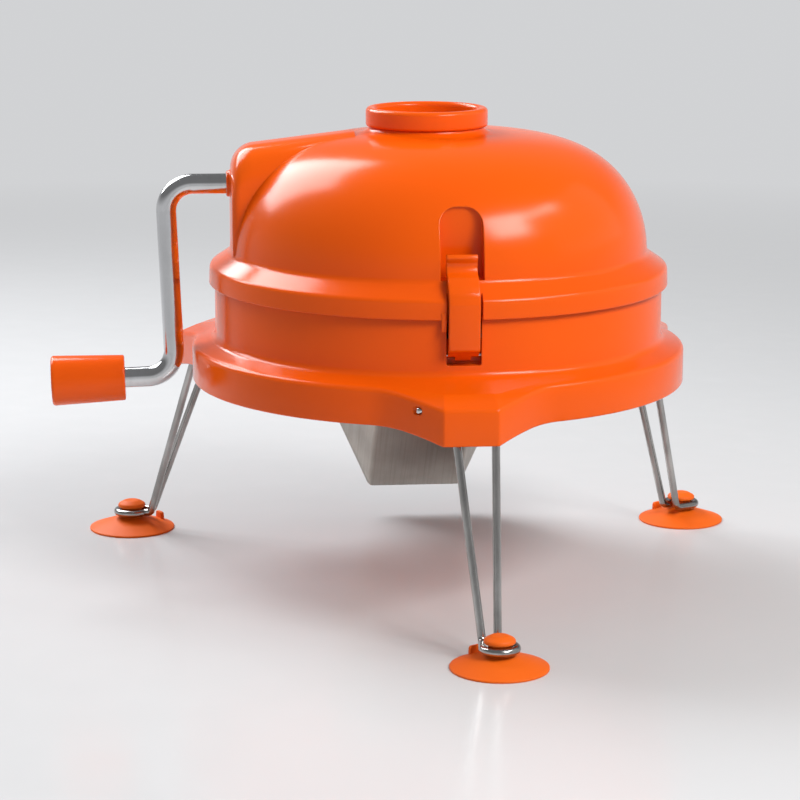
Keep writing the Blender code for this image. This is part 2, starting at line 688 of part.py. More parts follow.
def make_lid():
    low = LID_Z - SKIRT_DEPTH
    top = LID_Z + LID_BAND_H
    shoulder = [
        (0, low),
        (SKIRT_R, low),
        (SKIRT_R, LID_Z),
        (WALL_R + 1.0, LID_Z),
        (WALL_R + 1.0, LID_Z - LID_OVER),
        (LID_R, LID_Z - LID_OVER),
        (LID_R, top - 1.5),
        (LID_R - 2.4, top + 1.5),
        (DOME_R + 1.8, DOME_Z - 2.6),
    ]
    lid = add(turned("lid_dome", shoulder + dome_outline(0.0, 9), 40), ORANGE)
    join(lid, house_solid("house_outer", 0.0))
    join(lid, rod("crank_boss", ROD_R + 2.2, (HOUSE_X + 1.0, 0, CRANK_Z), (HOUSE_X - 3.6, 0, CRANK_Z), 20))
    boolean(lid, make_cavity())
    hole_r = FEED_TUBE_R + GAP
    low, high = DOME_Z + DOME_H / 2, FEED_TOP_Z
    cut(lid, turned("cut_feed", [(0, low), (hole_r, low), (hole_r, high), (0, high)], 32, (FEED_X, 0)))
    inside = HOUSE_X + 20
    cut(lid, rod("cut_crank", ROD_R + GAP, (HOUSE_X - 10, 0, CRANK_Z), (inside, 0, CRANK_Z), 20))
    cut(lid, rod("cut_bush", BUSH_R + GAP, (HOUSE_X + HOUSE_T, 0, CRANK_Z), (inside, 0, CRANK_Z), 20))
    for y in (-POST_Y, POST_Y):
        cut(lid, rod("cut_post", 1.5, (POST_X, y, BRACKET_Z), (POST_X, y, BRACKET_Z + 14), 10))
    for turn in (0, 180):
        cut_latch_room(lid, turn)


def make_feed_tube():
    neck_low = DOME_Z + DOME_H + GAP
    rim_low = FEED_TOP_Z - FEED_RIM_H
    add(turned("feed_tube", [
        (FEED_TUBE_R, FEED_LOW_Z),
        (FEED_TUBE_R, neck_low),
        (NECK_R, neck_low),
        (NECK_R, rim_low),
        (FEED_RIM_R, rim_low + FEED_RIM_R - NECK_R),
        (FEED_RIM_R, FEED_TOP_Z - EDGE),
        (FEED_RIM_R - EDGE, FEED_TOP_Z),
        (FEED_BORE_R + 0.8, FEED_TOP_Z),
        (FEED_BORE_R, FEED_TOP_Z - EDGE),
        (FEED_BORE_R, FEED_LOW_Z),
    ], 32, (FEED_X, 0)), ORANGE)


# Latches

def latch_outline():
    """Side view of the front latch: out of its slot, up in front of the flange, and over it to the lip."""
    knuckle = [(-1.4, 2.0), (-2.4, -0.6), (-1.2, -2.2), (1.2, -2.4), (2.6, -0.8)]
    arm = [(5.8, 2.6), (7.8, 4.2), (8.7, 7.0)]
    front = [(8.9, -1.0), (8.8, 5.0), (7.8, 9.6)]
    over = [(5.4, -3.8), (0.9, -0.6), (-3.0, 1.9), (-4.4, 6.2)]
    lip = [(-3.6, -3.0), (-2.4, -1.2), (-4.2, 0.0), (-6.6, -0.6)]
    back = [
        (LATCH_D - 7.6, LEDGE_Z + 5.8),
        (LATCH_D - 6.0, LEDGE_Z + 0.7),
        (NOTCH_D - NOTCH_RISE + 0.7, LEDGE_Z + 0.7),
        (NOTCH_D + 0.7, NOTCH_TURN_Z + 0.2),
        (LATCH_D + 4.6, LID_Z - 1.0),
        (LATCH_D + 4.6, LATCH_Z + 6.2),
        (LATCH_D + 2.0, LATCH_Z + 2.6),
    ]
    points = [(LATCH_D + d, LATCH_Z + z) for d, z in knuckle + arm]
    points += [(LATCH_D + d, LID_Z + z) for d, z in front]
    points += [(LATCH_D + d, DOME_Z + z) for d, z in over]
    points += [(LATCH_D + d, LATCH_TOP_Z + z) for d, z in lip]
    return [(-d, z) for d, z in points + back]


def make_latch(name, turn):
    body = prism("latch_" + name, latch_outline(), -LATCH_HALF, LATCH_HALF, along="X")
    latch = add(spun(body, turn), ORANGE)
    past = 2 * LATCH_HALF
    hole = rod("cut_latch", LATCH_PIN_R + GAP, (-past, -LATCH_D, LATCH_Z), (past, -LATCH_D, LATCH_Z), 12)
    cut(latch, spun(hole, turn))
    for side in (-1, 1):
        x = sorted((side * (LATCH_HALF - 3.4), side * (LATCH_HALF + 1)))
        ear = box("cut_ear", x, (-(LATCH_D + 3.2), -(LATCH_D - 5)), (LATCH_Z - 5, LATCH_Z + 3.4))
        cut(latch, spun(ear, turn))
    half = LATCH_HALF + 2.7
    pin = rod("latch_pin_" + name, LATCH_PIN_R, (-half, -LATCH_D, LATCH_Z), (half, -LATCH_D, LATCH_Z), 12)
    add(spun(pin, turn), POLISHED)


# Crank and grip

elbow = Vector((ARM_X + ARM_LEAN, 0, CRANK_Z - THROW))


def on_grip(x):
    """The point of the crank's lower run at a distance x."""
    return elbow + grip_dir * ((x - elbow.x) / grip_dir.x)


grip_start = on_grip(GRIP_START_X)


def along_grip(distance):
    return grip_start + grip_dir * distance


def make_crank():
    corners = [(CRANK_INNER_X, 0, CRANK_Z), (ARM_X, 0, CRANK_Z), elbow, along_grip(GRIP_L - 3.6)]
    add(tube("crank_rod", rounded(corners, CRANK_TURN, 6), ROD_R, 14), POLISHED)
    turn = grip_dir.to_track_quat("Z", "Y")
    bore, seat = ROD_R + GAP, CAP_R + GAP
    deep = GRIP_L - 5.4
    outline = [(0, bore), (0, GRIP_R0 - 0.8), (0.8, GRIP_R0), (GRIP_L - EDGE, GRIP_R1)]
    outline += [(GRIP_L, GRIP_R1 - EDGE), (GRIP_L, seat), (deep, seat), (deep, bore)]
    rings = [[along_grip(d) + turn @ p for p in circle(r, 24)] for d, r in outline]
    add(loft("crank_grip", rings), ORANGE)
    add(rod("grip_cap", CAP_R, along_grip(GRIP_L - 2.0), along_grip(GRIP_L - 0.4), 24), ORANGE)
    ends = (along_grip(deep + 0.4), along_grip(deep + 0.4 + WASHER_T - 0.1))
    add(rod("grip_retainer", CAP_R - 0.8, *ends, 20, bore=bore), BRONZE)


# Bearings of the crank and the lay shaft

def make_bracket():
    end = HOUSE_X + 4.0
    neck = POST_X - 6
    wing = POST_Y + 5
    plate = prism("gear_bracket", [
        (end, -8), (end + 4, -11), (neck, -11), (neck + 1, -wing), (POST_X + 5, -wing), (BRACKET_X, -12),
        (BRACKET_X, 12), (POST_X + 5, wing), (neck + 1, wing), (neck, 11), (end + 4, 11), (end, 8),
    ], BRACKET_Z, BRACKET_Z + BRACKET_T)
    bracket = add(plate, STEEL)
    arch_r = BUSH_R + 3.1
    arch = [(-12, BRACKET_Z), (12, BRACKET_Z)]
    for k in range(7):
        t = math.pi * k / 6
        arch.append((arch_r * math.cos(t), CRANK_Z + arch_r * math.sin(t)))
    join(bracket, prism("bracket_upright", arch, BRACKET_X - BRACKET_T, BRACKET_X, along="X"))
    low, high = BRACKET_Z - 9, BRACKET_Z + 9
    ends = ((BRACKET_X + 10, 0, CRANK_Z), (BRACKET_X - 10, 0, CRANK_Z))
    cut(bracket, rod("cut_bracket_crank", ROD_R + GAP, *ends, 20))
    cut(bracket, rod("cut_bracket_lay", LAY_R + 2 + GAP, (LAY_X, 0, low), (LAY_X, 0, high), 20))
    for name, y in (("front", -POST_Y), ("rear", POST_Y)):
        cut(bracket, rod("cut_bracket_screw", 1.8, (POST_X, y, low), (POST_X, y, high), 12))
        seat = BRACKET_Z - GAP
        add(turned("bracket_screw_" + name, [
            (0, seat - 2), (2.0, seat - 2), (3.4, seat - 0.8), (3.4, seat), (1.2, seat), (1.2, BRACKET_Z + 12),
            (0, BRACKET_Z + 12),
        ], 12, (POST_X, y)), POLISHED)


bush_low_z = BRACKET_Z - 6
bush_top_z = BRACKET_Z + BRACKET_T + GAP + WASHER_T


def make_bushes():
    ends = [(x, 0, CRANK_Z) for x in (HOUSE_X + HOUSE_T + GAP, HOUSE_X + 7.6)]
    add(rod("crank_bush", BUSH_R, *ends, 20, bore=ROD_R + GAP), BRONZE)
    flange_z = bush_top_z - WASHER_T
    sleeve_r = LAY_R + 2
    add(turned("lay_bush", [
        (LAY_R + GAP, bush_low_z), (sleeve_r, bush_low_z), (sleeve_r, flange_z), (sleeve_r + 2, flange_z),
        (sleeve_r + 2, bush_top_z), (LAY_R + GAP, bush_top_z),
    ], 20, (LAY_X, 0)), BRONZE)
    ends = [(BRACKET_X + GAP + x, 0, CRANK_Z) for x in (0, WASHER_T)]
    add(rod("crank_clip", BUSH_R + 0.2, *ends, 20, bore=ROD_R + GAP), POLISHED)


# Gears

def tooth_corners(teeth, phase):
    """The four corners of each tooth, as an angle and whether it is on the tip."""
    corners = []
    for k in range(teeth):
        for share, tip in ((-0.30, False), (-0.125, True), (0.125, True), (0.30, False)):
            corners.append((phase + (k + share) * 2 * math.pi / teeth, tip))
    return corners


def tooth_ring(corners, tip_r, root_r, tip_z, root_z):
    ring = []
    for t, tip in corners:
        r = tip_r if tip else root_r
        ring.append(Vector((r * math.cos(t), r * math.sin(t), tip_z if tip else root_z)))
    return ring


def spur_gear(name, teeth, bore, z0, z1, x=0.0, phase=0.0, hub=None):
    """A straight-toothed gear. hub is the radius and the top of a sleeve above it."""
    pitch = teeth * SPUR_MODULE / 2
    tip, root = pitch + 0.85 * SPUR_MODULE, pitch - 1.1 * SPUR_MODULE
    corners = tooth_corners(teeth, phase)
    steps = [(bore, bore, z0), (tip, root, z0), (tip, root, z1)]
    if hub:
        steps += [(hub[0], hub[0], z1), (hub[0], hub[0], hub[1]), (bore, bore, hub[1])]
    else:
        steps.append((bore, bore, z1))
    rings = [tooth_ring(corners, a, b, z, z) for a, b, z in steps]
    return loft(name, [[p + Vector((x, 0, 0)) for p in ring] for ring in rings])


BEVEL_PITCH_R = BEVEL_TEETH * BEVEL_MODULE / 2
BEVEL_CONE = BEVEL_PITCH_R * math.sqrt(2)
bevel_back = (BEVEL_CONE + 1.05 * BEVEL_MODULE) / math.sqrt(2)  # distance of a bevel gear's back from its apex


def bevel_gear(name, bore, hub_r, hub_end, matrix, phase):
    """A gear of an equal pair at right angles. Its apex is where the shafts cross, its own axis is +Z."""
    shrink = (BEVEL_CONE - BEVEL_FACE) / BEVEL_CONE
    tip, root = 0.8 * BEVEL_MODULE, -1.05 * BEVEL_MODULE
    corners = tooth_corners(BEVEL_TEETH, phase)
    reach = [(BEVEL_CONE + lift) / math.sqrt(2) for lift in (tip, root, -tip, -root)]
    back = tooth_ring(corners, *reach)
    front = [p * shrink for p in back]

    def plain(radius, z):
        return tooth_ring(corners, radius, radius, z, z)

    hub = [plain(hub_r, bevel_back + 0.5), plain(hub_r, hub_end), plain(bore, hub_end)]
    rings = [plain(bore, min(p.z for p in front)), front, back, *hub]
    return loft(name, [[matrix @ p for p in ring] for ring in rings])


def make_gears():
    ring_top = RING_Z + RING_H
    ring_gear = add(spur_gear("rotor_gear", RING_TEETH, RING_BORE_R, RING_Z, ring_top), NYLON)
    half_pitch = math.pi / PINION_TEETH
    add(spur_gear("lay_pinion", PINION_TEETH, LAY_R + GAP, RING_Z + 1.5, ring_top + GAP, LAY_X, half_pitch,
                  hub=(LAY_R + 3, bush_low_z - GAP)), NYLON)
    down = Matrix.Translation((LAY_X, 0, CRANK_Z)) @ Matrix.Rotation(math.pi, 4, "X")
    inward = Matrix.Translation((LAY_X, 0, CRANK_Z)) @ Matrix.Rotation(math.pi / 2, 4, "Y")
    hub_end = CRANK_Z - (bush_top_z + GAP)
    add(bevel_gear("lay_bevel", LAY_R + GAP, LAY_R + 3, hub_end, down, 0.0), NYLON)
    hub_end = BRACKET_X - BRACKET_T - GAP - LAY_X
    add(bevel_gear("crank_bevel", ROD_R + GAP, ROD_R + 3, hub_end, inward, math.pi / BEVEL_TEETH), NYLON)
    low, top = RING_Z - 0.1, CRANK_Z - BEVEL_PITCH_R / 2
    add(turned("lay_shaft", [(0, low), (LAY_R, low), (LAY_R, top), (0, top)], 16, (LAY_X, 0)), POLISHED)
    return ring_gear


# Rotor: a carrier with sweeping vanes, the slicing disc, its blades and screws

def make_rotor(ring_gear):
    bore = SPINDLE_R + GAP
    hub_low = BOSS_TOP + GAP + WASHER_T + GAP
    top = DISC_Z - GAP
    hub_r = BOSS_R - 0.4
    outline = [(bore, hub_low), (hub_r, hub_low), (hub_r, top), (bore, top)]
    carrier = add(turned("rotor_carrier", outline, 20), NYLON)
    rim_r = DISC_R - 0.5
    outline = [(RING_BORE_R, top - 5), (rim_r, top - 5), (rim_r, top), (RING_BORE_R, top)]
    join(carrier, turned("carrier_rim", outline, 32))
    sweep_z = FLOOR_TOP + 2.5
    sweep_r = WALL_R - WALL_T - 11.5
    for k in range(BLADES):
        vane = prism("vane", [
            (hub_r - 2.6, top - 0.5), (hub_r - 2.6, top - 7.7), (20, sweep_z), (sweep_r, sweep_z),
            (sweep_r, sweep_z + 9.5), (rim_r - 0.5, top - 4.7), (RING_BORE_R + 3.5, top - 0.5),
        ], -1.3, 1.3, along="Y")
        join(carrier, spun(vane, 360 * k / BLADES + 35))
    disc_top = DISC_Z + DISC_T
    outline = [(bore, DISC_Z), (DISC_R, DISC_Z), (DISC_R, disc_top), (bore, disc_top)]
    disc = add(turned("slicing_disc", outline, 32), BLADE)
    for k in range(BLADES):
        make_blade(disc, k + 1, 360 * k / BLADES - 8)
    for k in range(3):
        turn = math.radians(120 * k + 65)
        distance = RING_BORE_R + 3.7
        centre = (distance * math.cos(turn), distance * math.sin(turn))
        make_rotor_screw((disc, carrier, ring_gear), k + 1, centre)


def make_blade(disc, number, turn):
    """A slot across the disc and the knife above it."""
    inner, outer = BOSS_R + 0.5, RING_BORE_R - 2.5
    cut(disc, spun(box("cut_slot", (inner, outer), (-3.2, 3.2), (DISC_Z - 3, DISC_Z + 5)), turn))
    seat = DISC_Z + DISC_T + GAP
    outline = [(3.6, seat), (14, seat), (14, seat + 1), (4, seat + 1), (-0.6, seat + 2.3), (-0.8, seat + 1.9)]
    knife = prism(f"slicing_blade_{number}", outline, inner + 1, outer - 0.5, along="X")
    add(spun(knife, turn), BLADE)


def make_rotor_screw(bodies, number, centre):
    """A screw down through the ring gear and the disc into the carrier."""
    shank = 1.4
    low = DISC_Z - 4.0
    seat = RING_Z + RING_H + GAP
    wide = shank + GAP
    outline = [(0, low - 0.4), (wide, low - 0.4), (wide, seat + 5), (0, seat + 5)]
    hole = add(turned("cut_rotor_screw", outline, 10, centre))
    for body in bodies:
        boolean(body, hole)
    outline = [(0, low), (shank, low), (shank, seat), (3.0, seat), (2.4, seat + 1.4), (0, seat + 1.6)]
    add(turned(f"rotor_screw_{number}", outline, 12, centre), POLISHED)


make_chute(make_base())
make_spindle()
for leg in LEGS:
    make_leg(leg)
make_lid()
make_feed_tube()
make_latch("front", 0)
make_latch("rear", 180)
make_crank()
make_bracket()
make_bushes()
make_rotor(make_gears())
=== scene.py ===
"""Looks of a hand-cranked vegetable cutter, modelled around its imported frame.

Lengths are in millimetres from the drum's axis at table height, until put() turns a mesh into metres.
"""
import math

import bmesh
import bpy
from mathutils import Matrix, Vector


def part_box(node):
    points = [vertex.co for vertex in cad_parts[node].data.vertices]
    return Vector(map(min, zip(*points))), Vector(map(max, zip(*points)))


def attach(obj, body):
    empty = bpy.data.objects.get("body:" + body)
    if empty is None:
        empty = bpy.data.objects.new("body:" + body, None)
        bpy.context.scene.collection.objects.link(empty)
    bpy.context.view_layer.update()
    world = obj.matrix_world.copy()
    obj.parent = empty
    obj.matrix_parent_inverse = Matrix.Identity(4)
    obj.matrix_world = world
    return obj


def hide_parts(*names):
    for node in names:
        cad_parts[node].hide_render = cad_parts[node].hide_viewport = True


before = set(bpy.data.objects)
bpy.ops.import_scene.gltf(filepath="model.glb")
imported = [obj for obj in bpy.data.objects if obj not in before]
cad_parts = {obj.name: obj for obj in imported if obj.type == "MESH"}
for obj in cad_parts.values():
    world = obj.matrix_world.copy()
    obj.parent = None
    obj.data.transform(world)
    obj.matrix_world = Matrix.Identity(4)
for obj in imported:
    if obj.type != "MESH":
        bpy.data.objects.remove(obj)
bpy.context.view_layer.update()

MM = 0.001
GAP = 0.3
SIDES = 192  # faces round the lid
SHARP = math.radians(32.0)  # edges that turn further than this are shaded sharp

# Base drum
BASE_Z = 100.7
RIM_Z = 150.4
WALL_R = 110.5
WALL_T = 3.0
BAND_R = 121.9
BAND_Z1 = 117.9
FOOT_Z = 121.8
SKIN_T = 2.2
FLOOR_Z = 104.0
FLOOR_TOP = 107.0
BOSS_R = 9.0
BOSS_TOP = 120.0
SPINDLE_R = 4.0

# Legs: azimuth, place along the pin, splay of the foot past the lobe, side step of the foot
LEGS = {
    "front": (-90.0, 2.5, 23.6, 10.4),
    "left": (150.0, 0.0, 39.3, -3.7),
    "right": (30.0, 0.0, 25.6, 2.4),
}
WIRE_R = 1.9
LEG_HALF = 9.6  # half the wire's width at its hinge
LEG_BEND_IN = 9.0  # from the cup's middle inward to the bend where the first side meets the loop
LEG_BEND_ASIDE = 1.0
LEG_RISE = (-4.4, -0.4, 0.6)  # from the loop's end to the foot of the second side
BARREL_R = 3.1
PIN_R = 1.5
LOBE_OUT = 19.1  # past the round flange
LOBE_HALF = 12.5  # half its flat end
LOBE_SIDE = 16.5  # how far the straight flank beside that end runs sideways, and as far inward
LOBE_MEET = 21.5  # degrees from the lobe's middle to the round flange
LOBE_DROP = 4.7  # of the flange's lower edge at the lobe's end
LOBE_FALL = 5.0  # of its upper edge there
LOBE_CREST = 1.8  # rise of the ridge behind that edge
LOBE_REACH = BAND_R + LOBE_OUT
CREST_SHARE = 0.65  # how far out on the flange's top its ridge lies
PIN_REACH = 130.0
PIN_Z = 110.7
PIN_HALF = 24.5
PIN_L = 2 * PIN_HALF - 6.0
PIN_HOLE_END = PIN_HALF - 5.0

# Suction cups
CUP_R = 22.5
CUP_NECK_R = 5.2
LOOP_Z = 9.3  # middle of the wire's loop round the neck
LOOP_TURN = 262  # degrees
CUP_TOP_Z = 15.3
CUP_HEAD_R = CUP_NECK_R + 2.2
CUP_HEAD_Z = LOOP_Z + WIRE_R + 0.3
CUP_TAB_REACH = CUP_R - 5.6
CUP_TABS = {"front": math.radians(124), "left": math.radians(148), "right": math.radians(8)}

# Lid
LID_R = 113.3
LID_Z = 150.8
LID_T = 3.0
DOME_R = 102.75
DOME_Z = 166.0
DOME_H = 56.3
DOME_RISE = 1.86  # the two powers of the dome's curve
DOME_ROUND = 3.85
SKIRT_Z = 146.0
SKIRT_R = 106.7
CRANK_Z = 197.3
ROD_R = 5.0
HOUSE_X = -102.2
HOUSE_INNER_X = -42.0
HOUSE_HALF = 22.0
HOUSE_OVER = 18.4  # roof over the crank's axis
HOUSE_SLOPE = 0.12  # rise of the roof towards the dome
HOUSE_TURN = 11.0  # radius between roof and end
HOUSE_T = 2.6
BUSH_R = 7.4
POST_X = -63.0
POST_Y = 21.0
BRACKET_Z = 168.6
LID_TAB = ((-10.7, -8.3), (-113.2, -111.0), (143.1, 152.0))

# Feed tube
FEED_X = -6.0
FEED_BORE_R = 25.0
FEED_TUBE_R = 27.3
FEED_RIM_R = 29.9
FEED_TOP_Z = 234.1
FEED_RIM_H = 9.2
FEED_LOW_Z = 152.4
NECK_R = FEED_RIM_R - 1.5
NECK_FLARE = 9.0  # how far the dome's neck spreads at its foot

# Latches
LATCH_HALF = 7.15
LATCH_MID = -0.35
LATCH_ROOM = 8.25  # half the slot and notch that it moves in
LATCH_D = 107.0  # from the drum's axis to its pin
LATCH_Z = 131.4
LATCH_TOP_Z = 177.2
LATCH_PIN_R = 1.1
POCKET_HALF = 10.1
POCKET_TOP_Z = 197.5
POCKET_D = 91.0
NOTCH_D = 108.6
NOTCH_TURN_Z = 160.2
NOTCH_RISE = 5.8
LEDGE_Z = 166.0
SLOT_SIDE = LATCH_ROOM + 4.0  # half the block that holds a latch's pin
SLOT_BACK = LATCH_D - 4.2
SLOT_LOW_Z = LATCH_Z - 4.5

# Crank
ARM_X = -134.2
ARM_LEAN = 3.6
THROW = 95.0
CRANK_TURN = 13.0  # radius of its bends
CRANK_INNER_X = -46.0
GRIP_START_X = -155.3
GRIP_L = 36.0
GRIP_TILT = 0.031  # fall for each millimetre outward
GRIP_R0 = 11.2
GRIP_R1 = 12.4
CAP_R = 8.0

# Chute
CHUTE_LIP_Y = 113.0
CHUTE_LIP_Z = 15.8
CHUTE_HALF = 24.7
CHUTE_FLARE = math.radians(24.3)
CHUTE_DEPTH = 48.0
CHUTE_FOLD = 7.0
CHUTE_T = 1.0
CHUTE_TOP_Y = 30.0
CHUTE_TOP_UP = 2.0  # the wall's height at its upper end
CHUTE_MOUTH = 0.44  # share of its length, from the lip, that stands clear of the floor
CHUTE_END = 0.985  # where the sheet stops
CHUTE_BEND = 3.0
CHUTE_RISE = FLOOR_Z - GAP - CHUTE_T * 0.55 - CHUTE_LIP_Z

# Studio, in degrees, metres and watts
COOL = (0.95, 0.97, 1.0)
NEUTRAL = (1.0, 1.0, 1.0)
SOFTBOXES = {  # azimuth, elevation, distance, width, height, power, colour
    "rim_softbox": (-138, 38, 1.15, 0.74, 0.76, 18.0, COOL),
    "key_softbox": (37, 37.5, 1.25, 0.44, 0.42, 12.0, NEUTRAL),
    "strip_softbox": (64, 43, 1.25, 0.52, 0.13, 2.6, NEUTRAL),
    "fill_softbox": (88, 26, 1.7, 1.7, 1.2, 2.6, NEUTRAL),
}
LAMP_AIM_Z = 0.16
AMBIENT = 0.36
BACKDROP = (0.97, 0.98, 1.0)
FLOOR_SHOWN = 0.66  # brightness of the floor as it is seen, far from the object
FLOOR_HALF = 9
CAMERA_AZIMUTH = -5.456
CAMERA_ELEVATION = 12.18
CAMERA_ROLL = math.radians(0.134)
CAMERA_TARGET = (-18.628, 1.779, 87.229)  # in millimetres, as the part
CAMERA_DISTANCE = 1.3
CAMERA_LENS = 116.751

washer_low, washer_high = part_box("thrust_washer")
AXIS = Vector(((washer_low.x + washer_high.x) / 2, (washer_low.y + washer_high.y) / 2, 0))


# Outlines and paths

def rounded_corner(before, at, after, radius, steps):
    """Points of the arc that rounds a corner. It takes up 4% to 48% of the shorter side."""
    back = before - at
    on = after - at
    half = back.angle(on) / 2
    least = min(back.length, on.length)
    reach = min(max(radius / math.tan(half), 0.04 * least), 0.48 * least)
    start = at + back.normalized() * reach
    end = at + on.normalized() * reach
    weight = math.sin(half)
    points = []
    for k in range(steps + 1):
        t = k / steps
        a, b, c = (1 - t) ** 2, 2 * t * (1 - t) * weight, t ** 2
        points.append((start * a + at * b + end * c) / (a + b + c))
    return points


def outline(corners, steps=4):
    """A closed outline from corners (a, b) or (a, b, radius)."""
    points = [Vector(c[:2]) for c in corners]
    result = []
    for i, corner in enumerate(corners):
        if len(corner) > 2:
            after = points[(i + 1) % len(points)]
            result += rounded_corner(points[i - 1], points[i], after, corner[2], steps)
        else:
            result.append(points[i])
    return result


def bent(points, radius, steps=10):
    """A path whose inner corners are rounded."""
    points = [Vector(p) for p in points]
    path = [points[0]]
    for before, at, after in zip(points, points[1:], points[2:]):
        path += rounded_corner(before, at, after, radius, steps)
    return path + [points[-1]]


def circle(radius, sides):
    return [Vector((radius * math.cos(t), radius * math.sin(t), 0))
            for t in (2 * math.pi * k / sides for k in range(sides))]


# Meshes

def mesh_object(bm, name="part"):
    bmesh.ops.recalc_face_normals(bm, faces=bm.faces)
    mesh = bpy.data.meshes.new(name)
    bm.to_mesh(mesh)
    bm.free()
    obj = bpy.data.objects.new(name, mesh)
    bpy.context.scene.collection.objects.link(obj)
    return obj


def loft(rings, closed=True):
    """Joins rings of points. closed joins the last to the first, else the ends are capped."""
    bm = bmesh.new()
    loops = [[bm.verts.new(p) for p in ring] for ring in rings]
    count = len(loops[0])
    pairs = list(zip(loops, loops[1:]))
    if closed:
        pairs.append((loops[-1], loops[0]))
    else:
        bm.faces.new(loops[0])
        bm.faces.new(loops[-1])
    for a, b in pairs:
        for i in range(count):
            j = (i + 1) % count
            bm.faces.new((a[i], a[j], b[j], b[i]))
    return mesh_object(bm)


def turned(profile, sides=SIDES, centre=(0, 0)):
    """Turns a closed profile of (radius, height) about an upright axis, with one point where it meets it."""
    bm = bmesh.new()
    ring = circle(1.0, sides)
    loops = []
    for radius, z in profile:
        points = [(centre[0] + p.x * radius, centre[1] + p.y * radius, z) for p in ring]
        if radius <= 0.001:
            points = [(*centre, z)]
        loops.append([bm.verts.new(p) for p in points])
    for a, b in zip(loops, loops[1:] + loops[:1]):
        if len(a) == 1 and len(b) == 1:
            continue
        for i in range(sides):
            j = (i + 1) % sides
            corners = (a[i % len(a)], a[j % len(a)], b[j % len(b)], b[i % len(b)])
            bm.faces.new(tuple(dict.fromkeys(corners)))
    return mesh_object(bm)


def prism(points, start, end, along="Z"):
    """Extrudes an outline between two places on an axis."""
    place = {
        "Z": lambda a, b, c: (a, b, c),
        "Y": lambda a, b, c: (a, c, b),
        "X": lambda a, b, c: (c, a, b),
    }[along]
    return loft([[place(a, b, c) for a, b in points] for c in (start, end)], closed=False)


def box(x, y, z):
    """A block between the two ends of each of its three ranges."""
    return prism([(x[0], y[0]), (x[1], y[0]), (x[1], y[1]), (x[0], y[1])], *z)


def tube(path, radius, sides=32, edge=0.0):
    """A round bar along a path, with its ends broken by edge."""
    path = [Vector(p) for p in path]
    radii = [radius] * len(path)
    if edge:
        first, last = path[0], path[-1]
        path.insert(1, first + (path[1] - first).normalized() * edge)
        path.insert(-1, last + (path[-2] - last).normalized() * edge)
        radii = [radius - edge] + [radius] * (len(path) - 2) + [radius - edge]
    legs = [(b - a).normalized() for a, b in zip(path, path[1:])]
    side = legs[0].orthogonal().normalized()
    rings = []
    for i, (p, reach) in enumerate(zip(path, radii)):
        ahead = (legs[max(i - 1, 0)] + legs[min(i, len(legs) - 1)]).normalized()
        side = (side - ahead * side.dot(ahead)).normalized()
        other = ahead.cross(side)
        rings.append([p + (side * c.x + other * c.y) * reach for c in circle(1.0, sides)])
    return loft(rings, closed=False)


def bar(start, end, radius, sides=32, edge=0.0):
    return tube([start, end], radius, sides, edge)


def bar_along_x(start, end, y, z, radius, sides=32, edge=0.0):
    return bar((start, y, z), (end, y, z), radius, sides, edge)


def sleeve(profile, start, way, sides=48):
    """Turns a profile of (distance along, radius) about a leaning axis."""
    turn = way.to_track_quat("Z", "Y")
    start = Vector(start)
    return loft([[start + turn @ (c + Vector((0, 0, along))) for c in circle(radius, sides)]
                 for along, radius in profile])


def spun(obj, degrees):
    """Turns an object about the drum's axis."""
    obj.data.transform(Matrix.Rotation(math.radians(degrees), 4, "Z"))
    return obj


def carve(obj, others, operation="DIFFERENCE"):
    """Cuts others out of obj, or unites them with it, and removes them."""
    group = bpy.data.collections.new("carvers")
    bpy.context.scene.collection.children.link(group)
    for other in others:
        group.objects.link(other)
    modifier = obj.modifiers.new("carve", "BOOLEAN")
    modifier.solver = "EXACT"
    modifier.operation = operation
    modifier.operand_type = "COLLECTION"
    modifier.collection = group
    settle(obj)
    for other in others:
        bpy.data.objects.remove(other)
    bpy.data.collections.remove(group)
    return obj


def settle(obj):
    """Applies an object's modifiers."""
    bpy.context.view_layer.update()
    graph = bpy.context.evaluated_depsgraph_get()
    mesh = bpy.data.meshes.new_from_object(obj.evaluated_get(graph))
    obj.modifiers.clear()
    obj.data = mesh
    return obj


def bevelled(obj, width, angle=30.0, segments=3):
    """Rounds an object's sharp edges."""
    modifier = obj.modifiers.new("edges", "BEVEL")
    modifier.width = width
    modifier.segments = segments
    modifier.limit_method = "ANGLE"
    modifier.angle_limit = math.radians(angle)
    modifier.use_clamp_overlap = True
    return settle(obj)


def put(obj, name, material, body, slot, *nodes):
    """Turns a mesh into metres in its place and hands it to the frame, where it replaces nodes."""
    obj.name = name
    mesh = obj.data
    mesh.transform(Matrix.Translation(AXIS) @ Matrix.Scale(MM, 4))
    mesh.materials.clear()
    mesh.materials.append(material)
    mesh.shade_smooth()
    mesh.set_sharp_from_angle(angle=SHARP)
    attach(obj, body)
    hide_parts(*nodes)


# Materials

WIDE_EDGE = 0.0006
FINE_EDGE = 0.0003


def link_node(tree, kind, inputs=(), **settings):
    """Adds a shader node. An input is a value or another node's output."""
    new = tree.nodes.new("ShaderNode" + kind)
    for key, value in settings.items():
        setattr(new, key, value)
    for key, value in dict(inputs).items():
        if isinstance(value, bpy.types.NodeSocket):
            tree.links.new(value, new.inputs[key])
        else:
            new.inputs[key].default_value = value
    return new


def noise(tree, scale, detail=2.0, stretch=(1, 1, 1)):
    """Noise in the model's own metres."""
    place = link_node(tree, "TexCoord").outputs["Object"]
    mapping = link_node(tree, "Mapping", {"Vector": place, "Scale": stretch})
    inputs = {"Vector": mapping.outputs[0], "Scale": scale, "Detail": detail}
    return link_node(tree, "TexNoise", inputs).outputs[0]


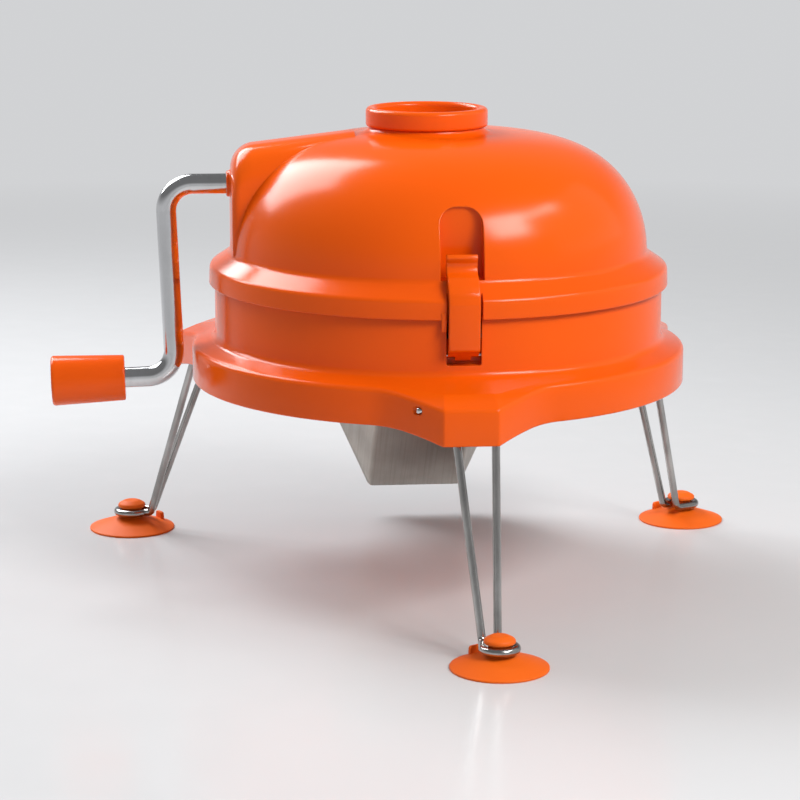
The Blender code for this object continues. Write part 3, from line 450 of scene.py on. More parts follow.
def spread(tree, value, low, high, start=0.3, end=0.7):
    """Maps a value that runs from start to end onto low to high."""
    inputs = {"Value": value, "From Min": start, "From Max": end, "To Min": low, "To Max": high}
    return link_node(tree, "MapRange", inputs).outputs[0]


def mixed(tree, factor, a, b):
    """Mixes two colours."""
    mix = link_node(tree, "Mix", data_type="RGBA")
    for index, value in ((0, factor), (6, a), (7, b)):
        if isinstance(value, bpy.types.NodeSocket):
            tree.links.new(value, mix.inputs[index])
        else:
            mix.inputs[index].default_value = value
    return mix.outputs[2]


def edge_mask(tree, bevel):
    """How sharp the shape is here: 0 on faces, up to 1 on edges."""
    normal = link_node(tree, "NewGeometry").outputs["Normal"]
    dot = link_node(tree, "VectorMath", {0: bevel.outputs[0], 1: normal}, operation="DOT_PRODUCT")
    return spread(tree, dot.outputs["Value"], 1.0, 0.0, 0.86, 0.998)


def bump(tree, normal, height, strength, distance):
    inputs = {"Normal": normal, "Height": height, "Strength": strength, "Distance": distance}
    return link_node(tree, "Bump", inputs).outputs[0]


def new_material(name, **inputs):
    """A material with its node tree and shader. Inputs are the shader's own, with _ for a space."""
    material = bpy.data.materials.new(name)
    material.use_nodes = True
    tree = material.node_tree
    shader = tree.nodes["Principled BSDF"]
    for key, value in inputs.items():
        shader.inputs[key.replace("_", " ")].default_value = value
    return material, tree, shader


def rgb(r, g, b):
    return (r, g, b, 1.0)


def moulded(name, dark, light, rough, peel, edge_light, edge_radius=WIDE_EDGE):
    """Moulded plastic: colour drift, faint flow marks, orange peel and paler, duller edges."""
    material, tree, shader = new_material(name, IOR=1.46, Specular_IOR_Level=0.25)
    bevel = link_node(tree, "Bevel", {"Radius": edge_radius}, samples=8)
    drift = spread(tree, noise(tree, 9.0, 1.5), 0.0, 1.0, 0.2, 0.8)
    edge = edge_mask(tree, bevel)
    base = mixed(tree, drift, rgb(*dark), rgb(*light))
    base = mixed(tree, spread(tree, edge, 0.0, 0.35, 0.0, 1.0), base, rgb(*edge_light))
    tree.links.new(base, shader.inputs["Base Color"])
    smear = spread(tree, noise(tree, 30.0, 2.0, (1.0, 1.0, 0.45)), rough - 0.02, rough + 0.03, 0.2, 0.8)
    worn = link_node(tree, "Math", {0: smear, 1: spread(tree, edge, 0.0, 0.04, 0.0, 1.0)}, operation="ADD")
    tree.links.new(worn.outputs[0], shader.inputs["Roughness"])
    normal = bump(tree, bevel.outputs[0], noise(tree, 240.0, 2.0), peel, 0.0004)
    tree.links.new(normal, shader.inputs["Normal"])
    return material


def metal(name, dark, light, rough, stretch, scratch, anisotropic=0.0):
    """Bare metal: its colour drifts, and fine lines run along its finish."""
    material, tree, shader = new_material(name, Metallic=1.0, Anisotropic=anisotropic)
    lines = noise(tree, 420.0, 4.0, stretch)
    cloud = noise(tree, 26.0, 4.0)
    base = mixed(tree, spread(tree, cloud, 0.0, 1.0), rgb(*dark), rgb(*light))
    base = mixed(tree, spread(tree, lines, 0.0, 0.5, 0.45, 0.8), base, rgb(*dark))
    tree.links.new(base, shader.inputs["Base Color"])
    sheen = link_node(tree, "Math", {
        0: spread(tree, lines, rough * 0.8, rough * 1.2),
        1: spread(tree, noise(tree, 90.0, 3.0), -0.02, 0.03),
    }, operation="ADD")
    tree.links.new(sheen.outputs[0], shader.inputs["Roughness"])
    bevel = link_node(tree, "Bevel", {"Radius": FINE_EDGE}, samples=4)
    normal = bump(tree, bevel.outputs[0], lines, scratch, 0.0001)
    tree.links.new(normal, shader.inputs["Normal"])
    return material


ORANGE = moulded(
    "orange_plastic", (0.745, 0.082, 0.0015), (0.83, 0.106, 0.002),
    rough=0.19, peel=0.02, edge_light=(0.90, 0.16, 0.01))
RUBBER = moulded(
    "orange_rubber", (0.76, 0.114, 0.004), (0.83, 0.136, 0.006),
    rough=0.52, peel=0.08, edge_light=(0.95, 0.20, 0.02))
NYLON = moulded(
    "gear_nylon", (0.30, 0.30, 0.32), (0.38, 0.38, 0.40),
    rough=0.46, peel=0.12, edge_light=(0.5, 0.5, 0.52), edge_radius=FINE_EDGE)
CHROME = metal(
    "polished_steel", (0.50, 0.50, 0.50), (0.66, 0.66, 0.67),
    rough=0.13, stretch=(1.0, 1.0, 0.08), scratch=0.03)
WIRE = metal(
    "wire_steel", (0.24, 0.23, 0.22), (0.50, 0.485, 0.47),
    rough=0.19, stretch=(1.0, 1.0, 0.06), scratch=0.08)
SHEET = metal(
    "sheet_steel", (0.27, 0.24, 0.21), (0.39, 0.355, 0.315),
    rough=0.40, stretch=(3.0, 0.05, 0.05), scratch=0.10, anisotropic=0.3)
BLADE = metal(
    "blade_steel", (0.56, 0.57, 0.58), (0.70, 0.71, 0.72),
    rough=0.18, stretch=(0.2, 2.0, 1.0), scratch=0.06)
BRONZE = metal(
    "sintered_bronze", (0.45, 0.28, 0.12), (0.62, 0.42, 0.20),
    rough=0.42, stretch=(1.0, 1.0, 1.0), scratch=0.12)


# Base drum with its lobes

def bezier(a, b, c, steps):
    points = []
    for k in range(steps + 1):
        t = k / steps
        points.append(a * (1 - t) ** 2 + b * 2 * t * (1 - t) + c * t ** 2)
    return points


def lobe_side():
    """Half a lobe seen from above, from its flat end to the round flange, with the lobe along +Y."""
    corner = Vector((LOBE_HALF, LOBE_REACH))
    shoulder = corner + Vector((LOBE_SIDE, -LOBE_SIDE))
    total = LOBE_HALF + LOBE_REACH
    x = (total - math.sqrt(2 * BAND_R ** 2 - total ** 2)) / 2
    bend = Vector((x, total - x))
    meet = math.radians(LOBE_MEET)
    last = Vector((math.sin(meet), math.cos(meet))) * BAND_R
    points = rounded_corner(Vector((0, LOBE_REACH)), corner, shoulder, 2.0, 6)
    points += [corner.lerp(shoulder, t) for t in (0.25, 0.5, 0.75)]
    return points + bezier(shoulder, bend, last, 14)


def base_outline():
    """The base seen from above, as angles and radii: three lobes and the round flange between them."""
    between = 40
    points = []
    for azimuth, *_ in LEGS.values():
        points.append((azimuth, LOBE_REACH))
        for x in (LOBE_HALF * 0.45, LOBE_HALF * 0.8):
            turn = math.degrees(math.atan2(x, LOBE_REACH))
            reach = math.hypot(x, LOBE_REACH)
            points += [(azimuth + turn, reach), (azimuth - turn, reach)]
        for p in lobe_side():
            turn = math.degrees(math.atan2(p.x, p.y))
            points += [(azimuth + turn, p.length), (azimuth - turn, p.length)]
        for k in range(1, between):
            points.append((azimuth + LOBE_MEET + (120 - 2 * LOBE_MEET) * k / between, BAND_R))
    return sorted((angle % 360, radius) for angle, radius in points)


def base_section(radius):
    """Section of the base where its flange reaches a radius: up the outside, then down the inside."""
    out = max(0.0, min(1.0, (radius - BAND_R) / LOBE_OUT))
    low = BASE_Z - LOBE_DROP * out ** 1.5
    high = BAND_Z1 - LOBE_FALL * out
    crest = WALL_R + (radius - WALL_R) * CREST_SHARE
    crest_z = FOOT_Z + (high - FOOT_Z) * CREST_SHARE + LOBE_CREST * out
    slope = (crest_z - high) / (radius - crest)
    under = SKIN_T * math.hypot(1, slope)
    seat = FLOOR_Z + 1.5
    middle = WALL_R - WALL_T / 2
    outer = [
        (radius, low, 0.7),
        (radius, high, 3.0),
        (crest, crest_z, 9.0),
        (WALL_R, FOOT_Z, 4.0),
        (WALL_R, RIM_Z, 0.6),
        (WALL_R - WALL_T, RIM_Z, 0.6),
    ]
    inner = [
        (WALL_R - WALL_T, FLOOR_TOP),
        (BOSS_R, FLOOR_TOP),
        (BOSS_R, BOSS_TOP),
        (SPINDLE_R + GAP, BOSS_TOP),
        (SPINDLE_R + GAP, seat),
        (0.05, seat),
        (0.05, FLOOR_Z),
        (middle, FLOOR_Z),
        (middle, FOOT_Z + WALL_T / 2 * slope - under),
        (crest, crest_z - under),
        (radius - SKIN_T, high + SKIN_T * slope - under, 1.0),
        (radius - SKIN_T, low, 0.5),
    ]
    return outline(outer + inner)


def latch_slot(turn):
    """The block that holds a latch's pin, and what is cut from it: the latch's room and the pin's hole."""
    block = box((-SLOT_SIDE, SLOT_SIDE), (1.5 - WALL_R, -SLOT_BACK), (LATCH_Z - 5.6, LATCH_Z + 7))
    side, low, high = LATCH_ROOM - 0.2, SLOT_LOW_Z, LATCH_Z + 20
    corners = [(-side, low, 1.0), (side, low, 1.0), (side, high, 1.0), (-side, high, 1.0)]
    room = prism(outline(corners), -WALL_R - 5, -SLOT_BACK - 1.3, "Y")
    side = LATCH_ROOM + 2.4
    hole = bar_along_x(-side, side, -LATCH_D, LATCH_Z, LATCH_PIN_R + 0.2)
    return spun(block, turn), [spun(room, turn), spun(hole, turn)]


def chute_exit():
    """The opening in the drum's floor over the chute."""
    far, near = chute_corner(CHUTE_MOUTH, 1), chute_corner(1.0, 1)
    near_half, far_half = near.x - 1.5, far.x - 3
    near_y, far_y = near.y + 2, far.y + 8
    corners = [(-near_half, near_y, 2.0), (near_half, near_y, 2.0)]
    corners += [(far_half, far_y, 2.0), (-far_half, far_y, 2.0)]
    return prism(outline(corners), FLOOR_Z - 5, FLOOR_TOP + 5)


def make_base():
    rings = []
    for angle, radius in base_outline():
        a = math.radians(angle)
        rings.append([(r * math.cos(a), r * math.sin(a), z) for r, z in base_section(radius)])
    base = loft(rings)
    blocks, cuts = [], []
    for turn in (0, 180):
        block, rooms = latch_slot(turn)
        blocks.append(block)
        cuts += rooms
    for azimuth, *_ in LEGS.values():
        hole = bar((PIN_REACH, -PIN_HALF - 15, PIN_Z), (PIN_REACH, PIN_HOLE_END, PIN_Z), PIN_R + 0.6)
        cuts.append(spun(hole, azimuth))
    cuts.append(chute_exit())
    carve(base, blocks, "UNION")
    carve(base, cuts)
    put(base, "base_shell", ORANGE, "base", "orange_shell", "base_housing")


# Chute

def chute_point(along, up, side):
    """A point of a chute wall. along runs from the lip (0) to the top (1), up is the height on the wall."""
    x = CHUTE_HALF + up * math.sin(CHUTE_FLARE)
    y = CHUTE_LIP_Y - along * (CHUTE_LIP_Y - CHUTE_TOP_Y)
    z = CHUTE_LIP_Z + along * (CHUTE_RISE - CHUTE_TOP_UP) + up * math.cos(CHUTE_FLARE)
    return Vector((side * x, y, z))


def chute_corner(along, side):
    """Where a wall's edge lies against the floor."""
    rest = CHUTE_RISE - along * (CHUTE_RISE - CHUTE_TOP_UP)
    return chute_point(along, rest / math.cos(CHUTE_FLARE), side)


def chute_row(along, side):
    """Points across one half of the sheet: from the middle, round the bend and up the wall."""
    top = chute_corner(along, side)
    if along < CHUTE_MOUTH:
        lip = chute_point(0, CHUTE_DEPTH, side)
        top = lip.lerp(chute_corner(CHUTE_MOUTH, side), along / CHUTE_MOUTH)
    foot = chute_point(along, 0, side)
    middle = Vector((0, foot.y, foot.z))
    row = [middle, middle.lerp(foot, 0.5)]
    row += rounded_corner(middle, foot, top, CHUTE_BEND, 6)
    row += [row[-1].lerp(top, t) for t in (0.5, 1.0)]
    return row


def make_chute():
    """One bent sheet, with a fold along the part of each wall that is screwed to the floor."""
    steps = 8
    places = [CHUTE_MOUTH * k / steps for k in range(steps)]
    places += [CHUTE_MOUTH + (CHUTE_END - CHUTE_MOUTH) * k / steps for k in range(steps + 1)]
    bm = bmesh.new()
    rows = []
    for along in places:
        left, right = (chute_row(along, side) for side in (-1, 1))
        row = [bm.verts.new(p) for p in reversed(left)] + [bm.verts.new(p) for p in right[1:]]
        rows.append(row)
    for a, b in zip(rows, rows[1:]):
        for i in range(len(a) - 1):
            bm.faces.new((a[i], a[i + 1], b[i + 1], b[i]))
    for side, end in ((-1, 0), (1, -1)):
        folds = []
        for row in rows[steps:]:
            edge = row[end]
            folds.append((edge, bm.verts.new(edge.co + Vector((side * CHUTE_FOLD, 0, 0)))))
        for a, b in zip(folds, folds[1:]):
            bm.faces.new((a[0], b[0], b[1], a[1]))
    chute = mesh_object(bm, "chute")
    sheet = chute.modifiers.new("sheet", "SOLIDIFY")
    sheet.thickness = CHUTE_T
    sheet.offset = 0
    sheet.use_even_offset = True
    settle(chute)
    bevelled(chute, 0.22, 60.0, 2)
    put(chute, "chute_sheet", SHEET, "base", "sheet_steel", "discharge_chute")


# Legs, hinge pins and suction cups

def leg_path(slide, reach, step):
    """The wire of a leg: down one side, three quarters round the cup's neck, and up again."""
    ring = CUP_NECK_R + 2 * GAP + WIRE_R
    top = PIN_Z - BARREL_R + 0.8
    hinge = PIN_REACH + 0.4
    steps = 36
    loop = []
    for k in range(steps + 1):
        t = math.radians(180 - LOOP_TURN * k / steps)
        loop.append(Vector((reach + ring * math.sin(t), step + ring * math.cos(t), LOOP_Z)))
    bend = Vector((reach - LEG_BEND_IN, step - ring + LEG_BEND_ASIDE, LOOP_Z))
    down = bent([(hinge, slide - LEG_HALF, top), bend, loop[0]], 3.5, 10)[:-1]
    rise = loop[-1] + Vector(LEG_RISE)
    up = bent([loop[-1], rise, (hinge, slide + LEG_HALF, top)], 2.0, 6)[1:]
    return down + loop + up


def make_leg(name):
    """A leg's wire with its hinge barrel, its pin and its cup."""
    azimuth, slide, splay, step = LEGS[name]
    reach = LOBE_REACH + splay
    body = "leg_" + name
    across = Vector((0, 1, 0))
    half = LEG_HALF + 3.0
    bore = PIN_R + 0.3
    profile = [(0, bore), (0, BARREL_R - 0.6), (0.6, BARREL_R), (2 * half - 0.6, BARREL_R),
               (2 * half, BARREL_R - 0.6), (2 * half, bore)]
    barrel = sleeve(profile, (PIN_REACH, slide - half, PIN_Z), across)
    wire = tube(leg_path(slide, reach, step), WIRE_R, 28)
    carve(barrel, [wire], "UNION")
    put(spun(barrel, azimuth), body + "_wire", WIRE, body, "wire_steel", body)
    profile = [(0, 0.05), (0.05, 0.5), (0.3, 1.1), (0.8, PIN_R), (PIN_L, PIN_R), (PIN_L, 0.05)]
    pin = sleeve(profile, (PIN_REACH, 0.6 - PIN_HALF, PIN_Z), across, 32)
    pin_node = "leg_pin_" + name
    put(spun(pin, azimuth), pin_node + "_rod", CHROME, "base", "polished_steel", pin_node)
    cup_node = "suction_cup_" + name
    cup = make_cup(reach, step, CUP_TABS[name])
    put(spun(cup, azimuth), cup_node + "_skin", RUBBER, body, "orange_rubber", cup_node)


def make_cup(x, y, tab_turn):
    """A suction cup: its thin skirt, neck and knob, and the tab that lifts its edge."""
    cup = turned(outline([
        (CUP_R, 0, 0.2),
        (CUP_R, 0.9, 0.35),
        (CUP_R * 0.62, 3.9, 8.0),
        (CUP_NECK_R, 6.4, 2.0),
        (CUP_NECK_R, CUP_HEAD_Z, 0.4),
        (CUP_HEAD_R, CUP_HEAD_Z + 0.2, 0.8),
        (CUP_HEAD_R - 0.3, CUP_TOP_Z - 1.7, 1.5),
        (3.8, CUP_TOP_Z, 3.0),
        (0, CUP_TOP_Z),
        (0, 2.8),
        (CUP_R * 0.53, 2.0, 4.0),
        (CUP_R - 1.6, 0, 0.3),
    ], 6), 96, (x, y))
    tab = prism(outline([(-3.3, 2.0), (3.3, 2.0), (3.0, 6.6, 1.2), (-3.0, 6.6, 1.2)]), -0.9, 0.9, "Y")
    place = Matrix.Translation((x, y, 0)) @ Matrix.Rotation(tab_turn, 4, "Z")
    tab.data.transform(place @ Matrix.Translation((0, CUP_TAB_REACH, 0)))
    return carve(cup, [bevelled(tab, 0.35)], "UNION")


# Lid

def dome_curve(inset, count):
    """From the foot of the dome to its top: a blunt curve between a circle and a box."""
    points = []
    for k in range(count):
        share = math.sin(math.pi / 2 * k / (count - 1))
        reach = (1 - share ** DOME_RISE) ** (1 / DOME_ROUND)
        points.append(((DOME_R - inset) * reach, DOME_Z + (DOME_H - inset) * share))
    return points


def house(inset, side_turn, end_turn):
    """The gear housing: sections from the dome to its end, with rounded roof edges and a rounded end."""
    end = HOUSE_X + inset
    floor = DOME_Z - 4.0 + inset
    turn = HOUSE_TURN - inset
    steps = 12
    places = [HOUSE_INNER_X, HOUSE_INNER_X - 12, end + turn + 10]
    places += [end + turn - turn * math.sin(math.radians(90 * k / steps)) for k in range(steps + 1)]
    rings = []
    for x in places:
        over = max(0.0, end + turn - x)
        roof = CRANK_Z + HOUSE_OVER - inset + (x - end) * HOUSE_SLOPE
        roof -= turn - math.sqrt(max(0.0, turn ** 2 - over ** 2))
        over = max(0.0, end + end_turn - x)
        half = HOUSE_HALF - inset - (end_turn - math.sqrt(max(0.0, end_turn ** 2 - over ** 2)))
        corners = [(-half, floor), (half, floor), (half, roof, side_turn), (-half, roof, side_turn)]
        rings.append([(x, p.x, p.y) for p in outline(corners, 10)])
    return loft(rings, closed=False)


def latch_room(turn):
    """What is cut for a latch: the notch behind it, and the round-topped pocket for a finger."""
    past = -LID_R - 8
    low = SKIRT_Z - 3
    bend = [(-NOTCH_D, LID_Z - 3), (-NOTCH_D, NOTCH_TURN_Z, 3.0), (-NOTCH_D + NOTCH_RISE, LEDGE_Z)]
    corners = [(past, low), (-NOTCH_D, low), *bend, (past, LEDGE_Z)]
    notch = prism(outline(corners), -LATCH_ROOM, LATCH_ROOM, "X")
    foot = LEDGE_Z - 1.0
    radius = POCKET_HALF * 0.8
    corners = [(-POCKET_HALF, foot), (POCKET_HALF, foot)]
    corners += [(POCKET_HALF, POCKET_TOP_Z, radius), (-POCKET_HALF, POCKET_TOP_Z, radius)]
    pocket = prism(outline(corners, 10), past, -POCKET_D, "Y")
    return [spun(notch, turn), spun(pocket, turn)]


def make_cavity():
    """What is hollow in the lid, less what stands inside."""
    low = SKIRT_Z - 1
    inner = SKIRT_R - LID_T - 0.2
    profile = [(0, low), (inner, low), (inner, LID_Z + 9.0), *dome_curve(LID_T, 20)]
    cavity = turned(profile, 96)
    carve(cavity, [house(HOUSE_T, 14.4, 2.5)], "UNION")
    keep = []
    side = POCKET_HALF + HOUSE_T
    back = POCKET_D - HOUSE_T
    for turn in (0, 180):
        keep.append(spun(box((-side, side), (-LID_R, -back), (LID_Z + 11.0, POCKET_TOP_Z + 1.5)), turn))
    for y in (-POST_Y, POST_Y):
        keep.append(bar((POST_X, y, BRACKET_Z + 2.8), (POST_X, y, DOME_Z + DOME_H), 4.2))
    keep.append(bar_along_x(HOUSE_X + 1, HOUSE_X + 8, 0, CRANK_Z, BUSH_R + 2.2))
    return carve(cavity, keep)


def make_neck():
    """The dome's neck under the feed rim, flaring into the dome in a quarter ellipse."""
    top = DOME_Z + DOME_H
    low = top - 1.1
    neck_top = FEED_TOP_Z - FEED_RIM_H - 0.15
    steps = 12
    profile = [(0, top - 6), (NECK_R + NECK_FLARE, top - 6)]
    for k in range(steps + 1):
        a = math.radians(90 * k / steps)
        profile.append((NECK_R + NECK_FLARE * (1 - math.sin(a)), low + (neck_top - low) * (1 - math.cos(a))))
    return turned(profile + [(0, neck_top)], 128, (FEED_X, 0))


def make_boss():
    """The small boss round the crank: a short collar that swells into the housing's end."""
    profile = [(0, 0.5), (0, 5.6), (0.3, 6.2), (0.9, 6.4), (1.5, 6.5)]
    profile += [(2.2, 7.2), (2.8, 8.4), (6.0, 8.4), (6.0, 0.5)]
    return sleeve(profile, (HOUSE_X - 2.2, 0, CRANK_Z), Vector((1, 0, 0)), 48)


def make_lid():
    shoulder = outline([
        (0, SKIRT_Z),
        (SKIRT_R, SKIRT_Z, 0.6),
        (SKIRT_R, LID_Z),
        (WALL_R + 1.0, LID_Z),
        (WALL_R + 1.0, LID_Z - 2.4, 0.3),
        (LID_R, LID_Z - 2.4, 0.6),
        (LID_R - 0.4, 157.4, 3.0),
        (103.0, 164.0, 4.0),
        (102.5, 172.0),
    ], 8)[:-1]
    lid = turned(shoulder + dome_curve(0.0, 44)[2:])
    carve(lid, [house(0.0, 17.0, 4.0)], "UNION")
    carve(lid, [make_neck()], "UNION")
    carve(lid, [make_boss(), bevelled(box(*LID_TAB), 0.4)], "UNION")
    carve(lid, [make_cavity()])
    cuts = [bar((FEED_X, 0, DOME_Z + 28), (FEED_X, 0, FEED_TOP_Z), FEED_TUBE_R + 0.2, 128)]
    cuts.append(bar_along_x(HOUSE_X - 10, HOUSE_X + 20, 0, CRANK_Z, ROD_R + 0.35, 48))
    cuts.append(bar_along_x(HOUSE_X + HOUSE_T, HOUSE_X + 20, 0, CRANK_Z, BUSH_R + GAP, 48))
    for y in (-POST_Y, POST_Y):
        cuts.append(bar((POST_X, y, BRACKET_Z), (POST_X, y, BRACKET_Z + 14), 1.5))
    for turn in (0, 180):
        cuts += latch_room(turn)
    carve(lid, cuts)
    put(lid, "lid_shell", ORANGE, "lid", "orange_shell", "lid_dome")


def make_feed_tube():
    rim_low = FEED_TOP_Z - FEED_RIM_H
    profile = outline([
        (FEED_TUBE_R, FEED_LOW_Z, 0.6),
        (FEED_TUBE_R, rim_low, 0.8),
        (FEED_RIM_R, rim_low, 2.6),
        (FEED_RIM_R, FEED_TOP_Z, 2.0),
        (FEED_BORE_R, FEED_TOP_Z, 2.0),
        (FEED_BORE_R, FEED_LOW_Z, 0.6),
    ], 8)
    put(turned(profile, 160, (FEED_X, 0)), "feed_tube_skin", ORANGE, "lid", "orange_shell", "feed_tube")


# Latches

def latch_outline():
    """Side view of the front latch: out of its slot, up in front of the flange, and over it to the lip."""
    knuckle = [(-1.4, 2.0, 0.6), (-2.4, -0.6, 1.0), (-1.2, -2.2, 1.0), (1.2, -2.4, 1.0), (2.6, -0.8, 1.0)]
    arm = [(5.8, 2.0, 1.5), (8.7, 2.8, 2.0)]
    front = [(8.9, -1.0, 6.0), (8.8, 5.0, 6.0), (7.8, 9.6, 6.0), (5.2, 13.0, 5.0), (0.9, 16.4, 5.0),
             (-3.0, 18.0, 3.0), (-4.4, 20.4, 3.0)]
    lip = [(-3.9, -4.0, 2.0), (-2.4, -1.6, 0.8), (-3.4, 0.0, 0.8), (-6.6, -0.6, 0.8)]
    back = [
        (LATCH_D - 7.6, LEDGE_Z + 5.8, 2.0),
        (LATCH_D - 6.0, LEDGE_Z + 0.7, 1.0),
        (NOTCH_D - NOTCH_RISE + 0.7, LEDGE_Z + 0.7, 1.0),
        (NOTCH_D + 0.7, NOTCH_TURN_Z + 0.2, 2.0),
        (LATCH_D + 4.6, LID_Z - 1.0, 3.0),
        (LATCH_D + 4.6, LATCH_Z + 6.2, 2.0),
        (LATCH_D + 2.0, LATCH_Z + 2.6, 1.0),
    ]
    corners = [(LATCH_D + d, LATCH_Z + z, r) for d, z, r in knuckle + arm]
    corners += [(LATCH_D + d, LID_Z + z, r) for d, z, r in front]
    corners += [(LATCH_D + d, LATCH_TOP_Z + z, r) for d, z, r in lip]
    return outline([(-d, z, r) for d, z, r in corners + back], 5)


def make_latch(name, turn):
    """A latch, whose knuckle is narrower than its clip, and its pin."""
    left, right = LATCH_MID - LATCH_HALF, LATCH_MID + LATCH_HALF
    latch = bevelled(prism(latch_outline(), left, right, "X"), 0.45, 50.0)
    cuts = [bar_along_x(-20, 20, -LATCH_D, LATCH_Z, LATCH_PIN_R + 0.15)]
    for x in ((left - 1, left + 3.4), (right - 3.4, right + 1)):
        cuts.append(box(x, (-(LATCH_D + 3.2), 5 - LATCH_D), (LATCH_Z - 5, LATCH_Z + 3.4)))
    carve(latch, cuts)
    node = "latch_" + name
    put(spun(latch, turn), node + "_clip", ORANGE, node, "orange_shell", node)
    half = LATCH_ROOM + 2.1
    pin = bar_along_x(-half, half, -LATCH_D, LATCH_Z, LATCH_PIN_R, 24, 0.3)
    node = "latch_pin_" + name
    put(spun(pin, turn), node + "_rod", CHROME, "base", "polished_steel", node)


# Crank and grip

grip_way = Vector((-1, 0, -GRIP_TILT)).normalized()
elbow = Vector((ARM_X + ARM_LEAN, 0, CRANK_Z - THROW))
grip_start = elbow + grip_way * ((GRIP_START_X - elbow.x) / grip_way.x)


def along_grip(distance):
    return grip_start + grip_way * distance


def make_crank():
    """The crank's bent rod, its grip and the grip's end cap."""
    corners = [(CRANK_INNER_X, 0, CRANK_Z), (ARM_X, 0, CRANK_Z), elbow, along_grip(GRIP_L - 3.6)]
    rod = tube(bent(corners, CRANK_TURN, 20), ROD_R, 56, 0.6)
    put(rod, "crank_bar", CHROME, "crank", "polished_steel", "crank_rod")
    bore, seat = ROD_R + GAP, CAP_R + GAP
    deep = GRIP_L - 5.4
    profile = outline([
        (0, bore, 0.4),
        (0, GRIP_R0, 0.9),
        (GRIP_L, GRIP_R1, 1.4),
        (GRIP_L, seat, 0.4),
        (deep, seat),
        (deep, bore),
    ], 6)
    grip = sleeve(profile, grip_start, grip_way, 96)
    put(grip, "grip_sleeve", ORANGE, "grip", "orange_shell", "crank_grip")
    cap = bar(along_grip(GRIP_L - 2.0), along_grip(GRIP_L - 0.4), CAP_R, 64, 0.4)
    put(cap, "grip_end_cap", ORANGE, "grip", "orange_shell", "grip_cap")


make_base()
make_chute()
for leg in LEGS:
    make_leg(leg)
make_lid()
make_feed_tube()
make_latch("front", 0)
make_latch("rear", 180)
make_crank()

# The inner mechanism keeps its solids, with finished materials
FINISH = {
    "gear_nylon": NYLON,
    "polished_steel": CHROME,
    "sheet_steel": SHEET,
    "blade_steel": BLADE,
    "bronze": BRONZE,
}
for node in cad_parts.values():
    for holder in node.material_slots:
        if not node.hide_render:
            holder.material = FINISH[holder.material.name.split(".")[0]]


# Floor, lights and camera

def direction(azimuth, elevation):
    """Unit vector from the object. Azimuth 0 is towards the camera's side, -90 towards the crank."""
    a, e = math.radians(azimuth), math.radians(elevation)
    return Vector((math.sin(a) * math.cos(e), -math.cos(a) * math.cos(e), math.sin(e)))


def shown_rays(tree):
    """1 for rays that show the surroundings: straight to the camera, mirrored, or through glass."""
    path = link_node(tree, "LightPath").outputs
    shown = path["Is Camera Ray"]
    for kind in ("Is Glossy Ray", "Is Transmission Ray"):
        shown = link_node(tree, "Math", {0: shown, 1: path[kind]}, operation="MAXIMUM").outputs[0]
    return shown


def make_floor():
    """A pale table that fades into the backdrop away from the object."""
    bm = bmesh.new()
    corners = ((-1, -1), (1, -1), (1, 1), (-1, 1))
    bm.faces.new([bm.verts.new((x * FLOOR_HALF, y * FLOOR_HALF, 0)) for x, y in corners])
    floor = mesh_object(bm, "floor")
    material, tree, shader = new_material("pale_table", IOR=1.45)
    cloud = noise(tree, 3.0, 3.0)
    base = mixed(tree, cloud, rgb(0.60, 0.60, 0.605), rgb(0.63, 0.63, 0.63))
    tree.links.new(base, shader.inputs["Base Color"])
    tree.links.new(spread(tree, noise(tree, 40.0, 4.0), 0.16, 0.22), shader.inputs["Roughness"])
    place = link_node(tree, "TexCoord").outputs["Object"]
    radius = link_node(tree, "VectorMath", {0: place}, operation="LENGTH").outputs["Value"]
    far = spread(tree, radius, 0.0, 1.0, 0.45, 1.6)
    share = link_node(tree, "Math", {0: far, 1: shown_rays(tree)}, operation="MULTIPLY").outputs[0]
    even = link_node(tree, "Emission", {"Color": rgb(*BACKDROP), "Strength": FLOOR_SHOWN})
    mix = link_node(tree, "MixShader", {0: share, 1: shader.outputs[0], 2: even.outputs[0]})
    tree.links.new(mix.outputs[0], tree.nodes["Material Output"].inputs["Surface"])
    floor.data.materials.append(material)


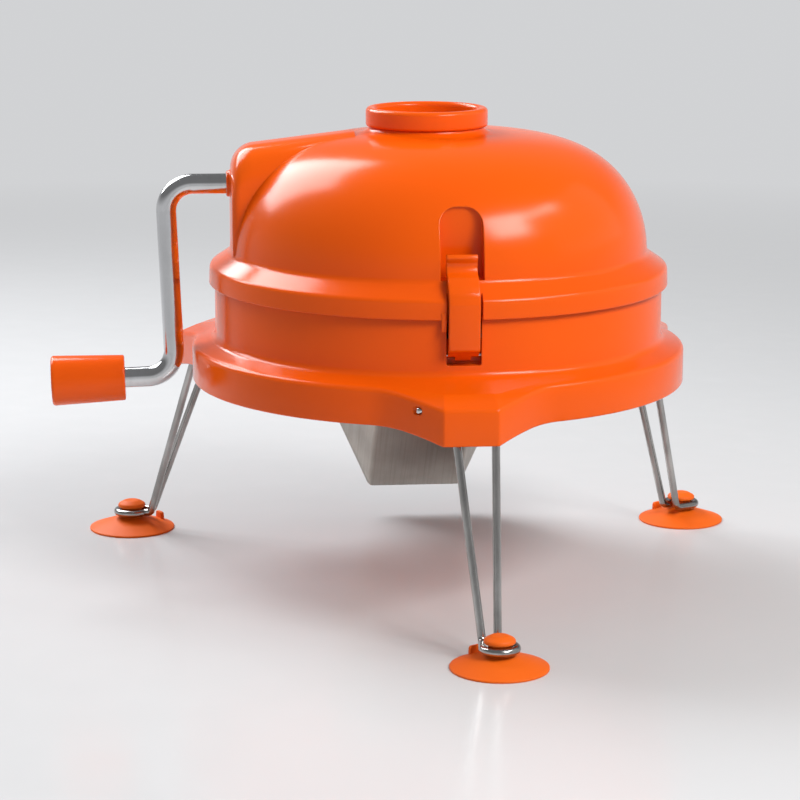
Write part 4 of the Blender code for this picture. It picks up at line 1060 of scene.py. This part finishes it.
def softbox(name, azimuth, elevation, distance, width, height, power, colour):
    """An oblong lamp that faces the object."""
    lamp = bpy.data.lights.new(name, "AREA")
    lamp.shape = "RECTANGLE"
    lamp.size = width
    lamp.size_y = height
    lamp.energy = power
    lamp.color = colour
    obj = bpy.data.objects.new(name, lamp)
    bpy.context.scene.collection.objects.link(obj)
    way = direction(azimuth, elevation)
    obj.location = AXIS + Vector((0, 0, LAMP_AIM_Z)) + way * distance
    obj.rotation_euler = way.to_track_quat("Z", "Y").to_euler()


def make_world():
    """A pale backdrop where it is seen or mirrored, and an even light elsewhere."""
    world = bpy.data.worlds.new("studio")
    bpy.context.scene.world = world
    world.use_nodes = True
    tree = world.node_tree
    tree.nodes.clear()
    place = link_node(tree, "TexCoord").outputs["Generated"]
    height = link_node(tree, "SeparateXYZ", {"Vector": place}).outputs["Z"]
    strength = spread(tree, height, FLOOR_SHOWN, 0.22, 0.02, 0.34)
    pale = link_node(tree, "Background", {"Color": rgb(*BACKDROP), "Strength": strength})
    ambient = link_node(tree, "Background", {"Color": rgb(1, 1, 1), "Strength": AMBIENT})
    mix = link_node(tree, "MixShader", {0: shown_rays(tree), 1: ambient.outputs[0], 2: pale.outputs[0]})
    out = tree.nodes.new("ShaderNodeOutputWorld")
    tree.links.new(mix.outputs[0], out.inputs["Surface"])


def make_camera():
    target = Vector(CAMERA_TARGET) * MM + AXIS
    back = direction(CAMERA_AZIMUTH, CAMERA_ELEVATION)
    a = math.radians(CAMERA_AZIMUTH)
    level = Vector((math.cos(a), math.sin(a), 0))
    upright = back.cross(level)
    cos, sin = math.cos(CAMERA_ROLL), math.sin(CAMERA_ROLL)
    axes = Matrix((level * cos + upright * sin, upright * cos - level * sin, back)).transposed().to_4x4()
    camera = bpy.data.cameras.new("camera")
    camera.sensor_width = 36.0
    camera.lens = CAMERA_LENS
    obj = bpy.data.objects.new("camera", camera)
    bpy.context.scene.collection.objects.link(obj)
    obj.matrix_world = Matrix.Translation(target + back * CAMERA_DISTANCE) @ axes
    bpy.context.scene.camera = obj


make_floor()
for name, values in SOFTBOXES.items():
    softbox(name, *values)
make_world()
make_camera()
bpy.context.scene.view_settings.view_transform = "Standard"
